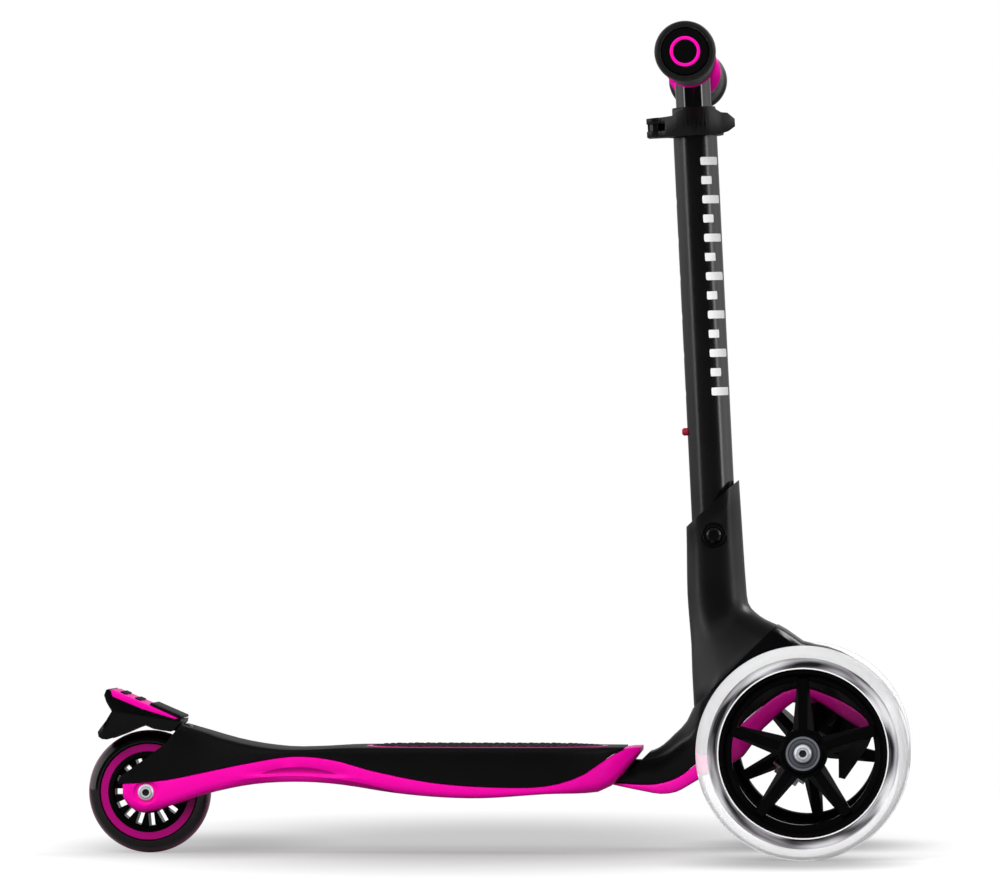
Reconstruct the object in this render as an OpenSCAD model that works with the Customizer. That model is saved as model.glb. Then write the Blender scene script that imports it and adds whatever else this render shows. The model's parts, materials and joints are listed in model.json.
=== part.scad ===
// Kick scooter with two front wheels, steered by leaning, with a telescopic handlebar.
// X points forward, Y to the rider's left and Z up. The floor is Z = 0.

/* [Layout] */
// Distance between the rear axle and the front axle
wheelbase = 428; // [410:1:450]
// Distance between the middles of the two front wheels
track = 226; // [218:1:240]
// Height of the handlebar's axis above the floor, at its lowest setting
bar_height = 512.5; // [505:0.5:530]
// Overall width of the handlebar over the grips
bar_width = 290; // [280:1:320]
// Backward lean of the steering column, in degrees
column_lean = 2.75; // [2:0.25:3.5]
// Distance from the front axle back to the point where the column's axis meets the floor
column_setback = 49.3; // [47:0.1:52]
// Angle of the steering pivot above the horizontal, in degrees
kingpin_rake = 55; // [50:1:60]

/* [Rear wheel] */
// Outer diameter of the rear tyre
rear_wheel_d = 80; // [78:0.5:82]
// Width of the rear tyre
rear_wheel_w = 24; // [22:0.5:26]
// Diameter over the coloured ring under the rear tyre
rear_ring_d = 62.4; // [60:0.2:64]
// Diameter of the rear wheel's core
rear_core_d = 52.8; // [50:0.2:55]
// Number of slots in the rear wheel's core
rear_slots = 15; // [9:1:18]

/* [Front wheels] */
// Outer diameter of a front tyre
front_wheel_d = 136.5; // [134:0.5:139]
// Width of a front tyre
front_wheel_w = 28; // [26:0.5:30]
// Diameter of the rim under a front tyre
front_rim_d = 107.6; // [105:0.2:110]
// Inner diameter of the rim, where the blades end
front_rim_inner_d = 91; // [88:0.5:93]
// Diameter of a front wheel's hub
front_hub_d = 31.4; // [29:0.2:34]
// Number of blades in a front wheel
blades = 5; // [4:1:7]
// Width of a blade at the hub
blade_w = 13; // [11:0.5:16]
// Width of a blade at the rim
blade_tip_w = 7; // [4:0.5:8]

/* [Bearings and axles] */
// Outer diameter of a ball bearing
bearing_d = 22; // [20:0.5:24]
// Width of a ball bearing
bearing_w = 7; // [6:0.5:8]
// Diameter of the axles that carry the wheels
axle_d = 8; // [7:0.5:9]
// Diameter of the steering pivot
kingpin_d = 10; // [8:0.5:12]

/* [Deck] */
// Greatest half width of the deck
deck_half_w = 58.5; // [54:0.5:62]
// Half width of the rear fork
fork_half_w = 29; // [27.5:0.5:31]
// Height of the deck's standing surface
deck_z = 70; // [69:0.5:72]
// Width of the slot that the rear wheel runs in
wheel_slot_w = 29; // [28:0.5:31]
// Gap round the rear tyre inside the deck
tyre_gap = 3; // [2.5:0.25:4]
// Width of the bare border round the inlay on the deck
pad_margin = 7; // [5:0.5:12]
// Width of the coloured inlay round the grip pad
inlay_w = 4; // [3:0.5:8]

/* [Column] */
// Outer diameter of the lower tube
lower_tube_d = 28.6; // [27:0.2:30]
// Wall of the lower tube
lower_wall = 1.5; // [1.2:0.1:1.8]
// Outer diameter of the upper tube
upper_tube_d = 23; // [22:0.2:23.6]
// Wall of the upper tube
upper_wall = 1.4; // [1.2:0.1:1.8]
// Distance from the handlebar's axis down to the lower tube's top end, at the lowest setting
stem_drop = 28.09; // [26:0.01:32]
// Height of the lower tube's bottom end along the column
lower_tube_bottom = 92; // [88:1:98]
// Height of the bolt through the sleeve and the lower tube, along the column
column_bolt_s = 207.3; // [205:0.1:210]
// Distance from that bolt up to the upper tube's bottom end, at the lowest setting
tube_clearance = 32.7; // [30:0.1:36]
// Length of the upper tube below the height button
upper_tube_tail = 35.5; // [30:0.5:40]
// Length of the clamping slit in the lower tube's top end
slit_len = 24; // [20:1:30]
// Bare length of tube between the highest setting and the slit
hole_margin = 35.5; // [30:0.5:40]
// Diameter of the height button
button_d = 5; // [4.5:0.5:7]
// Number of height settings
hole_count = 7; // [4:1:7]
// How far the height button stands out of the lower tube
button_out = 3.5; // [2.5:0.5:4.5]

/* [Handlebar] */
// Diameter of the crossbar
bar_d = 22.2; // [20:0.2:23]
// Wall of the crossbar
bar_wall = 1.5; // [1.2:0.1:2]
// Diameter of a grip's body
grip_d = 30; // [28:0.5:32]
// Diameter of a grip's outer end
grip_end_d = 39; // [36:0.5:41]
// Length of a grip with its collar
grip_len = 89; // [80:1:95]
// Diameter of the coloured collar at a grip's inner end
collar_d = 35; // [33:0.5:37]

/* [Clearances] */
// Radial clearance of a shaft in its bore
run_gap = 0.05; // [0.02:0.01:0.08]
// Gap between neighbouring pieces
seat_gap = 0.3; // [0.2:0.05:0.4]

/* [Hidden] */
$fn = 48;
black = "#17171a";
rubber = "#232326";
magenta = "#f0119f";
steel = "#b8bcc0";
zinc = "#8d9196";

rear_r = rear_wheel_d / 2;
front_r = front_wheel_d / 2;
rear_x = -(wheelbase + front_r - rear_r) / 2;
front_x = rear_x + wheelbase;
wheel_y = track / 2;
bar_s = bar_height / cos(column_lean);
lower_tube_top = bar_s - stem_drop;
upper_tube_bottom = column_bolt_s + tube_clearance;
button_s = upper_tube_bottom + upper_tube_tail;
hole_pitch = (lower_tube_top - slit_len - hole_margin - button_s) / (hole_count - 1);

// ---- curves and skins ----------------------------------------------------------------

// Index of the stretch of the curve p that holds x
function stretch(p, x) = max([0, for (k = [0:len(p) - 2]) if (p[k][0] <= x) k]);
// Slope of the curve p at its point i
function slope(p, i) =
    let (a = max(i - 1, 0), b = min(i + 1, len(p) - 1))
    (p[b][1] - p[a][1]) / (p[b][0] - p[a][0]);
// Height at x of the smooth curve through the points p
function curve(p, x) =
    let (i = stretch(p, x), h = p[i + 1][0] - p[i][0], t = (x - p[i][0]) / h,
        a = p[i][1], b = p[i + 1][1], u = slope(p, i) * h, v = slope(p, i + 1) * h)
    a + u * t + (3 * (b - a) - 2 * u - v) * t * t + (u + v - 2 * (b - a)) * t * t * t;
// Row between rows i and i + 1 of a table, on a smooth curve through all its rows
function between(rows, i, t) =
    let (a = rows[max(i - 1, 0)], b = rows[i], c = rows[i + 1], d = rows[min(i + 2, len(rows) - 1)])
    b + 0.5 * t * ((c - a) + t * (2 * a - 5 * b + 4 * c - d + t * (3 * b - a - 3 * c + d)));
// The table with more rows, so that a skin through it is smooth
function refined(rows, steps) =
    [for (i = [0:len(rows) - 2], k = [0:steps - 1]) between(rows, i, k / steps), rows[len(rows) - 1]];

// Points of a quarter circle about [y, v]
function quarter(y, v, r, start, steps) =
    [for (k = [0:steps]) let (turn = start + 90 * k / steps) [y + r * cos(turn), v + r * sin(turn)]];

// A section has a first and a second guide point in the XZ plane, a half width, the corner radii at
// the two guide points, and where it has one the depth of a flute along its sides:
// [x1, z1, x2, z2, half width, radius 1, radius 2, flute]
flute_shares = [0.08, 0.3, 0.5, 0.7, 0.92];
flute_height = 0.55;
function section_ring(s, steps) =
    let (a = [s[0], s[1]], b = [s[2], s[3]], depth = norm(b - a), dir = (b - a) / depth, half = s[4],
        r1 = min(s[5], 0.48 * depth, half), r2 = min(s[6], 0.48 * depth, half),
        flute = len(s) < 8 ? [] : [for (t = flute_shares)
            [half - s[7] * sin(180 * t), r1 + t * flute_height * (depth - r1 - r2)]],
        back = [for (k = [1:len(flute)]) flute[len(flute) - k]],
        ring = concat(quarter(half - r1, r1, r1, -90, steps), flute,
            quarter(half - r2, depth - r2, r2, 0, steps), quarter(r2 - half, depth - r2, r2, 90, steps),
            [for (p = back) [-p[0], p[1]]], quarter(r1 - half, r1, r1, 180, steps)))
    [for (p = ring) [a[0] + dir[0] * p[1], p[0], a[1] + dir[1] * p[1]]];

// Closed skin over a row of sections
module loft(rows, steps = 3) {
    rings = [for (s = rows) section_ring(s, steps)];
    n = len(rings[0]);
    last = len(rings) - 1;
    sides = [for (k = [0:last - 1], i = [0:n - 1])
        [k * n + i, (k + 1) * n + i, (k + 1) * n + (i + 1) % n, k * n + (i + 1) % n]];
    start = [for (i = [0:n - 1]) i];
    end = [for (i = [n - 1:-1:0]) last * n + i];
    polyhedron(points = [for (ring = rings, p = ring) p], faces = concat([start], sides, [end]),
        convexity = 8);
}

// ---- frames --------------------------------------------------------------------------

// From the rear axle's place on the floor
module from_rear() {
    translate([rear_x, 0, 0]) children();
}
// From the front axle's place on the floor
module from_front() {
    translate([front_x, 0, 0]) children();
}
// The rear frame, seen from the front axle
module rear_frame() {
    translate([-wheelbase, 0, 0]) children();
}
// Along the column, seen from the front axle: Z runs up the tubes
module column_line() {
    translate([-column_setback, 0, 0]) rotate([0, -column_lean, 0]) children();
}
module on_column() {
    from_front() column_line() children();
}
// Along the steering pivot, seen from the front axle: Z runs up the pin, from the axle's middle
module kingpin_line() {
    translate([0, 0, front_r]) rotate([0, 90 - kingpin_rake, 0]) children();
}
module on_kingpin() {
    from_front() kingpin_line() children();
}
// About an axis along Y: Z of the children points to the rider's right
module across(x, y, z) {
    translate([x, y, z]) rotate([90, 0, 0]) children();
}
module tube(outer_d, inner_d, height) {
    difference() {
        cylinder(d = outer_d, h = height);
        translate([0, 0, -1]) cylinder(d = inner_d, h = height + 2);
    }
}
// Rectangle about the origin with round corners
module rounded_rect(x, y, r) {
    square([x - 2 * r, y], center = true);
    square([x, y - 2 * r], center = true);
    for (i = [-1, 1], j = [-1, 1]) translate([i * (x / 2 - r), j * (y / 2 - r)]) circle(r = r);
}
// Both sides, as mirror images
module both_sides() {
    children();
    mirror([0, 1, 0]) children();
}

// ---- deck ----------------------------------------------------------------------------

// The deck's curves are drawn for this wheelbase. Behind stretch_back they keep to the rear wheel,
// in front of stretch_front they keep to the front axle, and between these they stretch.
drawn_wheelbase = 428;
stretch_back = 100;
stretch_front = 250;
function along(x) =
    x + (wheelbase - drawn_wheelbase) * min(1, max(0, (x - stretch_back) / (stretch_front - stretch_back)));
function placed(points) = [for (p = points) [along(p[0]), p[1]]];

fork_end = -19;
shell_end = along(311);
tray_end = along(321.5);
neck_half_w = 28;
// Half width of the deck along its length
width_curve = placed([[-24, fork_half_w - 0.5], [10, fork_half_w], [32, fork_half_w + 2.5],
    [60, fork_half_w + 11], [90, deck_half_w - 10], [120, deck_half_w - 4.5], [150, deck_half_w - 1.5],
    [190, deck_half_w], [230, deck_half_w - 0.5], [262, deck_half_w - 3.5], [285, deck_half_w - 9],
    [300, deck_half_w - 15.5], [312, neck_half_w + 9], [321.5, neck_half_w + 2]]);
// Top of the deck: it rises towards the brake
top_curve = placed([[-24, deck_z + 23], [10, deck_z + 17.3], [32, deck_z + 11.2], [60, deck_z + 3],
    [88, deck_z - 1.4], [110, deck_z - 1.4], [132, deck_z - 0.2], [150, deck_z], [170, deck_z],
    [300, deck_z], [321.5, deck_z]]);
// Sweeping line where the shell's side meets the tray
side_curve = placed([[-24, 45], [10, 47.8], [32, 52], [64, 58.8], [98, 64.2], [124, 62], [150, 55],
    [190, 47.4], [232, 44.6], [262, 45.5], [284, 52], [300, 62.8], [311, 69], [321.5, 70]]);
// Underside of the tray, in front of the fork's round end
under_curve = placed([[2, 26.8], [22, 33.2], [43, 40], [72, 45.8], [100, 47.6], [126, 46.2],
    [164, 40.6], [194, 37.9], [222, 37.4], [262, 40], [290, 40.6], [300, 43], [308, 50], [315, 58.5],
    [321.5, 67]]);
fork_round_r = 15;
fork_round_z = rear_r + 1.5;
fork_round_x = -1;
tray_inset = 0.8;
tray_corner = 6;
shell_corner = 5;
// A flute runs along each side of the tray, over a thin lip
flute_back = along(66);
flute_front = along(138);
flute_depth = 2.2;
lip_corner = 2.4;

function half_width(x) = curve(width_curve, x);
function underside(x) = x > 3 ? curve(under_curve, x)
    : fork_round_z - sqrt(max(0, pow(fork_round_r, 2) - pow(x - fork_round_x, 2)));

function shell_section(x) = [x, curve(side_curve, x), x, curve(top_curve, x), half_width(x), 0.8, shell_corner];
function flute(x) = x < flute_back || x > flute_front ? 0
    : sin(180 * (x - flute_back) / (flute_front - flute_back));
function tray_section(x) =
    [x, underside(x), x, curve(side_curve, x) - (x <= shell_end ? seat_gap : 0), half_width(x) - tray_inset,
        tray_corner - (tray_corner - lip_corner) * flute(x), 0.8, flute_depth * flute(x)];

// The shell and the tray share their stations, so that the seam between them stays even
deck_steps = 40;
deck_stations = [for (k = [0:deck_steps]) fork_end + (shell_end - fork_end) * k / deck_steps];
module shell_form() {
    loft([for (x = deck_stations) shell_section(x)]);
}
nose_stations = [shell_end + seat_gap, (shell_end + tray_end) / 2, tray_end];
module tray_form() {
    fork_stations = [for (turn = [20:22:86]) fork_round_x - fork_round_r * cos(turn)];
    loft([for (x = concat(fork_stations, [for (x = deck_stations) if (x > 3) x], nose_stations))
        tray_section(x)]);
}
// The front of the tray with a gap round it, which the neck and its trim are cut back by
module nose_room() {
    translate([seat_gap, 0, 0])
        loft([for (x = concat([for (x = deck_stations) if (x > stretch_front) x], nose_stations)) tray_section(x)]);
}
// Room for the rear wheel: a round well, open to the rear
module wheel_room() {
    across(0, wheel_slot_w / 2, rear_r) cylinder(r = rear_r + tyre_gap, h = wheel_slot_w);
    translate([-60, -wheel_slot_w / 2, 0]) cube([60, wheel_slot_w, 130]);
}
// Slanted rear edge of the shell's side panels
module shell_rear_cut() {
    across(0, 60, 0) linear_extrude(height = 120)
        polygon([[-40, 130], [brake_x - 1, 130], [brake_x - 1, 84.5], [13, 72], [-3, 60], [-17, 50],
            [-18.5, 44], [-40, 44]]);
}

tongue_back = tray_end - 63.5;
tongue_front = tray_end + 8.5;
tongue_half_w = 17;
tongue_low = 49;
tongue_high = 61;
module tongue(grow = 0) {
    translate([tongue_back - grow, -tongue_half_w - grow, tongue_low - grow])
        cube([tongue_front - tongue_back + grow, 2 * (tongue_half_w + grow), tongue_high - tongue_low + 2 * grow]);
}

pad_back = along(142);
pad_front = along(300);
// Outline of what lies in the deck's top, in from the deck's edge by a margin
module deck_outline(margin) {
    mid = (pad_back + pad_front) / 2;
    half = (pad_front - pad_back) / 2 - margin + pad_margin;
    xs = [for (k = [0:24]) mid - half * cos(7.5 * k)];
    function edge(x) = (half_width(x) - margin) * pow(max(0, 1 - pow(abs(x - mid) / half, 5)), 0.5);
    polygon(concat([for (x = xs) [x, edge(x)]], [for (k = [23:-1:1]) [xs[k], -edge(xs[k])]]));
}
pad_depth = 1.6;

brake_x = 24;
brake_z = 79.5;
brake_pin_d = 4;
brake_knuckle_r = 4.6;
brake_knuckle_w = 18;

module deck_shell() color(black) from_rear() {
    difference() {
        shell_form();
        wheel_room();
        shell_rear_cut();
        tongue(seat_gap);
        translate([0, 0, deck_z - pad_depth]) linear_extrude(height = 10) deck_outline(pad_margin);
        across(brake_x, brake_knuckle_w / 2 + seat_gap, brake_z)
            cylinder(r = brake_knuckle_r + 0.5, h = brake_knuckle_w + 2 * seat_gap);
        translate([brake_x - 12, -brake_knuckle_w / 2 - seat_gap, brake_z - 12])
            cube([12, brake_knuckle_w + 2 * seat_gap, 30]);
        across(brake_x, brake_pin_half, brake_z) cylinder(d = brake_pin_d, h = 2 * brake_pin_half);
        neck_bolt_places() cylinder(d = neck_bolt_d, h = neck_bolt_top);
        for (p = tray_screw_places) translate([p[0], p[1], 0]) cylinder(d = tray_screw_d, h = tray_screw_top(p));
    }
}
module deck_tray() color(magenta) from_rear() {
    difference() {
        tray_form();
        wheel_room();
        tongue(seat_gap);
        both_sides() across(0, -fork_half_w + tray_inset + 2.2, rear_r) cylinder(d = 16, h = 10);
        across(0, deck_half_w, rear_r) cylinder(d = axle_d, h = 2 * deck_half_w);
        neck_bolt_places() {
            cylinder(d = neck_bolt_d, h = neck_bolt_top);
            cylinder(d = neck_bolt_head_d + 1, h = neck_bolt_head_z);
        }
        for (p = tray_screw_places) translate([p[0], p[1], 0]) {
            cylinder(d = tray_screw_d, h = tray_screw_top(p));
            cylinder(d = tray_screw_head_d + 0.8, h = tray_screw_seat(p));
        }
    }
}
module deck_pad() color(rubber) from_rear() {
    translate([0, 0, deck_z - pad_depth]) linear_extrude(height = pad_depth + 0.6)
        deck_outline(pad_margin + inlay_w);
}
module deck_inlay() color(magenta) from_rear() {
    translate([0, 0, deck_z - pad_depth]) linear_extrude(height = pad_depth + 0.2) difference() {
        deck_outline(pad_margin + 0.1);
        deck_outline(pad_margin + inlay_w - 0.1);
    }
}

tray_screw_d = 3.5;
tray_screw_head_d = 7;
tray_screw_places = [for (p = [[75, 24], [150, 40], [225, 42]], side = [-1, 1]) [along(p[0]), side * p[1]]];
function tray_screw_seat(p) = underside(p[0]) + 2.4;
function tray_screw_top(p) = curve(side_curve, p[0]) + 2.5;
module tray_screws() color(zinc) from_rear() {
    for (p = tray_screw_places) translate([p[0], p[1], tray_screw_seat(p)]) {
        translate([0, 0, -1.8]) cylinder(d = tray_screw_head_d, h = 1.8);
        cylinder(d = tray_screw_d, h = tray_screw_top(p) - tray_screw_seat(p));
    }
}

// ---- neck, crown and their trim ------------------------------------------------------

// Line where the neck meets its trim, from the deck over the front axle to the nose
seam_line = [[-128, 47], [-117, 46.4], [-106.5, 45.7], [-96.5, 46], [-87, 48.4], [-79.5, 52],
    [-71, 58.6], [-60, 68], [-48, 78], [-38, 88], [-27, 97], [-14, 106], [0, 108.5], [13, 104.8],
    [25, 99.4], [36, 92], [43, 84.2]];
// Top of the neck and crown at the same stations. Over the crown it lies above the parting plane,
// which cuts a full-width seat for the column's base.
ridge_line = [[-128, 66], [-116, 66.4], [-107, 66.6], [-99.5, 67], [-92, 71.3], [-84.5, 78.3],
    [-76.5, 86.8], [-70.5, 101.5], [-68, 116], [-57, 128], [-42, 143], [-24, 152], [-2, 138.2],
    [14, 134.6], [31, 127], [45, 112], [53, 91]];
// Underside of the trim at the same stations
trim_line = [[-125, 45.6], [-116, 43.6], [-104, 41.2], [-93.5, 39.5], [-83.5, 40.8], [-75.5, 45],
    [-66, 50.6], [-53, 57], [-40, 64], [-30.5, 78], [-21.5, 87], [-12, 95.8], [0, 103],
    [10, 98.8], [21, 91.4], [31.5, 84.6], [38.5, 80.6]];
crown_half_w = [27, 27.5, 28, 28.3, 29, 30.5, 33, 38, 43.5, 45.5, 46, 46, 45.5, 43.5, 40, 34, 27];
ridge_radius = [6, 7, 8, 9, 10, 11, 12, 13, 13, 12, 11, 10, 12, 14, 15, 14, 12];

function neck_rows() = [for (i = [0:len(seam_line) - 1])
    [seam_line[i][0], seam_line[i][1], ridge_line[i][0], ridge_line[i][1], crown_half_w[i], 1.5,
        ridge_radius[i]]];
function trim_rows() = [for (i = [0:len(seam_line) - 1])
    let (gap = seat_gap * (seam_line[i] - ridge_line[i]) / norm(seam_line[i] - ridge_line[i]))
    [trim_line[i][0], trim_line[i][1], seam_line[i][0] + gap[0], seam_line[i][1] + gap[1],
        crown_half_w[i] + 0.6, 2.5, 0.8]];

// The column's base meets the crown in a plane at 45 degrees through this point
parting_x = -71;
parting_z = 96.5;
module above_parting(gap) {
    translate([parting_x, 0, parting_z]) rotate([0, -45, 0])
        translate([-60, -80, -gap]) cube([200, 160, 80]);
}
module kingpin_boss(grow) {
    kingpin_line() translate([0, 0, boss_low - grow]) cylinder(d = boss_d + 2 * grow, h = 26);
}
boss_d = 26;
boss_low = 21;
kingpin_top = 50;
// A chin that hangs from the crown in front of the beam, seen from the axle's middle
chin_line = [[21.5, 6], [24, 36], [37, 30], [44, 20], [43.5, 9], [40.5, 2], [25.5, -19.5], [21.5, -18.5]];
chin_half_w = 20;
chin_front = [[chin_half_w, 60], [chin_half_w, 8], [15, -12], [9, -21], [-9, -21], [-15, -12],
    [-chin_half_w, 8], [-chin_half_w, 60]];
module chin(grow) {
    half = chin_half_w + grow;
    intersection() {
        across(0, half, front_r) linear_extrude(height = 2 * half) offset(delta = grow) polygon(chin_line);
        translate([0, 0, front_r]) rotate([90, 0, 90]) linear_extrude(height = 60)
            offset(delta = grow) polygon(chin_front);
    }
}

neck_bolt_xs = [tray_end - 53.5, tray_end - 37.5];
neck_bolt_y = 9;
neck_bolt_d = 5;
neck_bolt_top = 58;
neck_bolt_head_d = 9;
neck_bolt_head_z = 44;
module neck_bolt_places() {
    for (x = neck_bolt_xs, y = [-1, 1]) translate([x, y * neck_bolt_y, 0]) children();
}

module neck() color(black) from_front() {
    difference() {
        union() {
            difference() {
                loft(refined(neck_rows(), 2), 3);
                above_parting(0);
                rear_frame() {
                    nose_room();
                    translate([0, -60, 0]) cube([shell_end - 6, 120, 90]);
                }
            }
            kingpin_boss(0);
            chin(0);
            rear_frame() tongue();
        }
        kingpin_line() cylinder(d = kingpin_d, h = kingpin_top);
        column_line() translate([0, 0, lower_tube_bottom])
            cylinder(d = lower_tube_d + 2 * run_gap, h = 80);
        rear_frame() neck_bolt_places() cylinder(d = neck_bolt_d, h = neck_bolt_top);
        crown_screw_places() cylinder(d = crown_screw_d, h = 60);
        crown_screw_places() cylinder(d = 9.6, h = crown_screw_head);
    }
}
module neck_trim() color(magenta) from_front() {
    difference() {
        union() {
            loft(refined(trim_rows(), 2), 2);
            for (y = [-1, 1]) translate([0, y * spring_y, spring_seat]) cylinder(d = spring_d + 3, h = 5);
        }
        rear_frame() nose_room();
        kingpin_boss(seat_gap);
        chin(seat_gap);
    }
}
module neck_bolts() color(zinc) from_rear() {
    neck_bolt_places() {
        translate([0, 0, neck_bolt_head_z - 3]) cylinder(d = neck_bolt_head_d, h = 3);
        translate([0, 0, neck_bolt_head_z]) cylinder(d = neck_bolt_d, h = neck_bolt_top - neck_bolt_head_z);
    }
}
// Two screws square to the parting plane, with Z running from the crown into the base
crown_screw_d = 5;
crown_screw_head = 8;
crown_screw_len = 36;
module crown_screw_places() {
    for (y = [-1, 1]) translate([parting_x + 24, y * 26, parting_z + 24])
        rotate([0, -45, 0]) translate([0, 0, -34]) children();
}
module crown_screws() color(zinc) from_front() {
    crown_screw_places() {
        translate([0, 0, crown_screw_head - 4]) cylinder(d = 9, h = 4);
        translate([0, 0, crown_screw_head]) cylinder(d = crown_screw_d, h = crown_screw_len);
    }
}

// ---- column --------------------------------------------------------------------------

column_bolt_d = 6;
// From the slanted top of the sleeve down to the foot on the parting plane: the first guide point is
// at the back and the second at the front
base_rows = [[-77.4, 212.4, -43.3, 243, 18.4, 12, 15], [-77.2, 200, -41.4, 214, 18.6, 14, 16],
    [-77.1, 186, -40.1, 193, 19, 14, 16], [-76.7, 169, -38.8, 175, 20, 14, 16],
    [-75.4, 152, -37.4, 163, 22.5, 14, 16], [-74, 136, -33, 157, 28, 16, 16],
    [-73.4, 118, -26.5, 152.2, 36, 22, 15], [-72, 93, -17.5, 148, 45.5, 30, 14]];
base_recess_d = 14;
base_recess_y = 16.5;

module column_base() color(black) from_front() {
    difference() {
        loft(refined(base_rows, 2), 4);
        below_parting();
        column_line() translate([0, 0, 60]) cylinder(d = lower_tube_d + 2 * run_gap, h = 220);
        column_line() across(0, 40, column_bolt_s) cylinder(d = column_bolt_d, h = 80);
        both_sides() column_line() across(0, -base_recess_y, column_bolt_s) cylinder(d = base_recess_d, h = 20);
        crown_screw_places() cylinder(d = crown_screw_d, h = crown_screw_head + crown_screw_len);
    }
}
module below_parting() {
    translate([parting_x, 0, parting_z]) rotate([0, -45, 0])
        translate([-100, -80, -80 + 0.05]) cube([260, 160, 80]);
}
module column_bolt() color(black) on_column() {
    across(0, 0, column_bolt_s) {
        translate([0, 0, 16.6]) socket_head(10.6, 3.2, 4);
        translate([0, 0, -17.5]) cylinder(d = column_bolt_d, h = 34.1);
    }
}
module column_nut() color(black) on_column() {
    across(0, 16.6 + 5, column_bolt_s) difference() {
        cylinder(d = 11, h = 5, $fn = 6);
        translate([0, 0, -1]) cylinder(d = column_bolt_d, h = 7);
    }
}
// Round screw head with a hex socket, resting on Z = 0
module socket_head(d, h, across_flats) {
    difference() {
        rotate_extrude() polygon([[0, 0], [d / 2, 0], [d / 2, h * 0.35], [d * 0.45, h * 0.7], [d * 0.34, h], [0, h]]);
        translate([0, 0, h * 0.4]) cylinder(d = across_flats / cos(30), h = h, $fn = 6);
    }
}

module lower_tube() color(black) on_column() {
    difference() {
        translate([0, 0, lower_tube_bottom])
            tube(lower_tube_d, lower_tube_d - 2 * lower_wall, lower_tube_top - lower_tube_bottom);
        for (k = [0:hole_count - 1]) translate([-lower_tube_d, 0, button_s + k * hole_pitch])
            rotate([0, 90, 0]) cylinder(d = button_d + 0.6, h = lower_tube_d);
        across(0, 40, column_bolt_s) cylinder(d = column_bolt_d, h = 80);
        translate([-lower_tube_d, -1, lower_tube_top - slit_len]) cube([lower_tube_d, 2, slit_len + 1]);
    }
}
bush_len = 30;
module tube_bush() color(rubber) on_column() {
    difference() {
        union() {
            translate([0, 0, lower_tube_top - bush_len])
                cylinder(d = lower_tube_d - 2 * lower_wall - 2 * run_gap, h = bush_len);
            translate([0, 0, lower_tube_top]) cylinder(d = lower_tube_d - 0.4, h = 1.2);
        }
        translate([0, 0, lower_tube_top - bush_len - 1]) cylinder(d = upper_tube_d + 2 * run_gap, h = bush_len + 4);
    }
}

// ---- quick-release clamp -------------------------------------------------------------

clamp_h = 13.4;
clamp_low = lower_tube_top - 17.4;
clamp_od = 37.4;
ear_gap = 2.5;
ear_w = 3.4;
ear_reach = 30.5;
cam_r = 5.6;
cam_x = -25.4;
cam_y = -(ear_gap / 2 + ear_w + cam_r + seat_gap);
clamp_bolt_d = 4;
lever_pin_d = 3;
clamp_mid = clamp_low + clamp_h / 2 - 0.6;
window_h = 4.9;

module clamp_collar() color(black) on_column() {
    difference() {
        union() {
            translate([0, 0, clamp_low]) cylinder(d = clamp_od, h = clamp_h);
            translate([-ear_reach, -ear_gap / 2 - ear_w, clamp_low]) cube([ear_reach, ear_gap + 2 * ear_w, clamp_h - 2]);
        }
        translate([0, 0, clamp_low - 1]) cylinder(d = lower_tube_d + 2 * run_gap, h = clamp_h + 2);
        translate([-ear_reach - 1, -ear_gap / 2, clamp_low - 1]) cube([ear_reach, ear_gap, clamp_h + 2]);
        across(cam_x, 40, clamp_mid) cylinder(d = clamp_bolt_d, h = 80);
    }
}
module clamp_bolt() color(zinc) on_column() {
    difference() {
        union() {
            across(cam_x, 9.5, clamp_mid) cylinder(d = clamp_bolt_d, h = 9.5 - cam_y - 2);
            translate([cam_x, cam_y, clamp_mid - window_h / 2 + 0.35]) cylinder(d = 7, h = window_h - 0.7);
        }
        translate([cam_x, cam_y, clamp_low]) cylinder(d = lever_pin_d + 2 * run_gap, h = clamp_h);
    }
}
module clamp_nut() color(zinc) on_column() {
    across(cam_x, ear_gap / 2 + ear_w + 4, clamp_mid) difference() {
        cylinder(d = 8.4, h = 4);
        translate([0, 0, -1]) cylinder(d = clamp_bolt_d, h = 6);
    }
}
// Distance of the lever's middle line from the column's axis, at the angle a
function lever_reach(a) = 21.4 + 5.2 * pow(max(0, (252 - a) / 48), 2) + 6.5 * pow(max(0, (a - 304) / 30), 2);
lever_t = 3.4;
// Finger ribs on the lever's outer side
lever_ribs = 6;
rib_turn = 6.2;
rib_w = 1.2;
rib_h = 3;
module lever_rib_row() {
    for (k = [0:lever_ribs - 1]) rotate([0, 0, 259 + k * rib_turn])
        translate([lever_reach(270) + lever_t / 2 - 0.6, -rib_w / 2, clamp_mid - rib_h / 2 + 0.4])
            cube([1.1, rib_w, rib_h]);
}
module lever_plan() {
    turns = [for (a = [204:5:334]) a];
    polygon(concat(
        [for (a = turns) (lever_reach(a) + lever_t / 2) * [cos(a), sin(a)]],
        [for (k = [len(turns) - 1:-1:0]) (lever_reach(turns[k]) - lever_t / 2) * [cos(turns[k]), sin(turns[k])]]));
    translate([cam_x, cam_y]) circle(r = cam_r);
}
module clamp_lever() color(black) on_column() {
    difference() {
        intersection() {
            translate([0, 0, clamp_low - 1]) linear_extrude(height = 20) lever_plan();
            across(0, 0, clamp_low) linear_extrude(height = 40) polygon([[-33, 0], [-33, 12], [-14, 12.8],
                [-11, 15.4], [-4, 17.6], [12, 17.6], [18, 13.8], [22, 13.4], [27.6, 8.4], [27.6, 5],
                [22, 1.4], [16, -0.4], [-12, -0.6]]);
        }
        translate([cam_x - 8, cam_y - 20, clamp_mid - window_h / 2]) cube([14.5, 40, window_h]);
        translate([cam_x, cam_y, clamp_low - 2]) cylinder(d = lever_pin_d, h = clamp_h + 8);
    }
    lever_rib_row();
}
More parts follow.
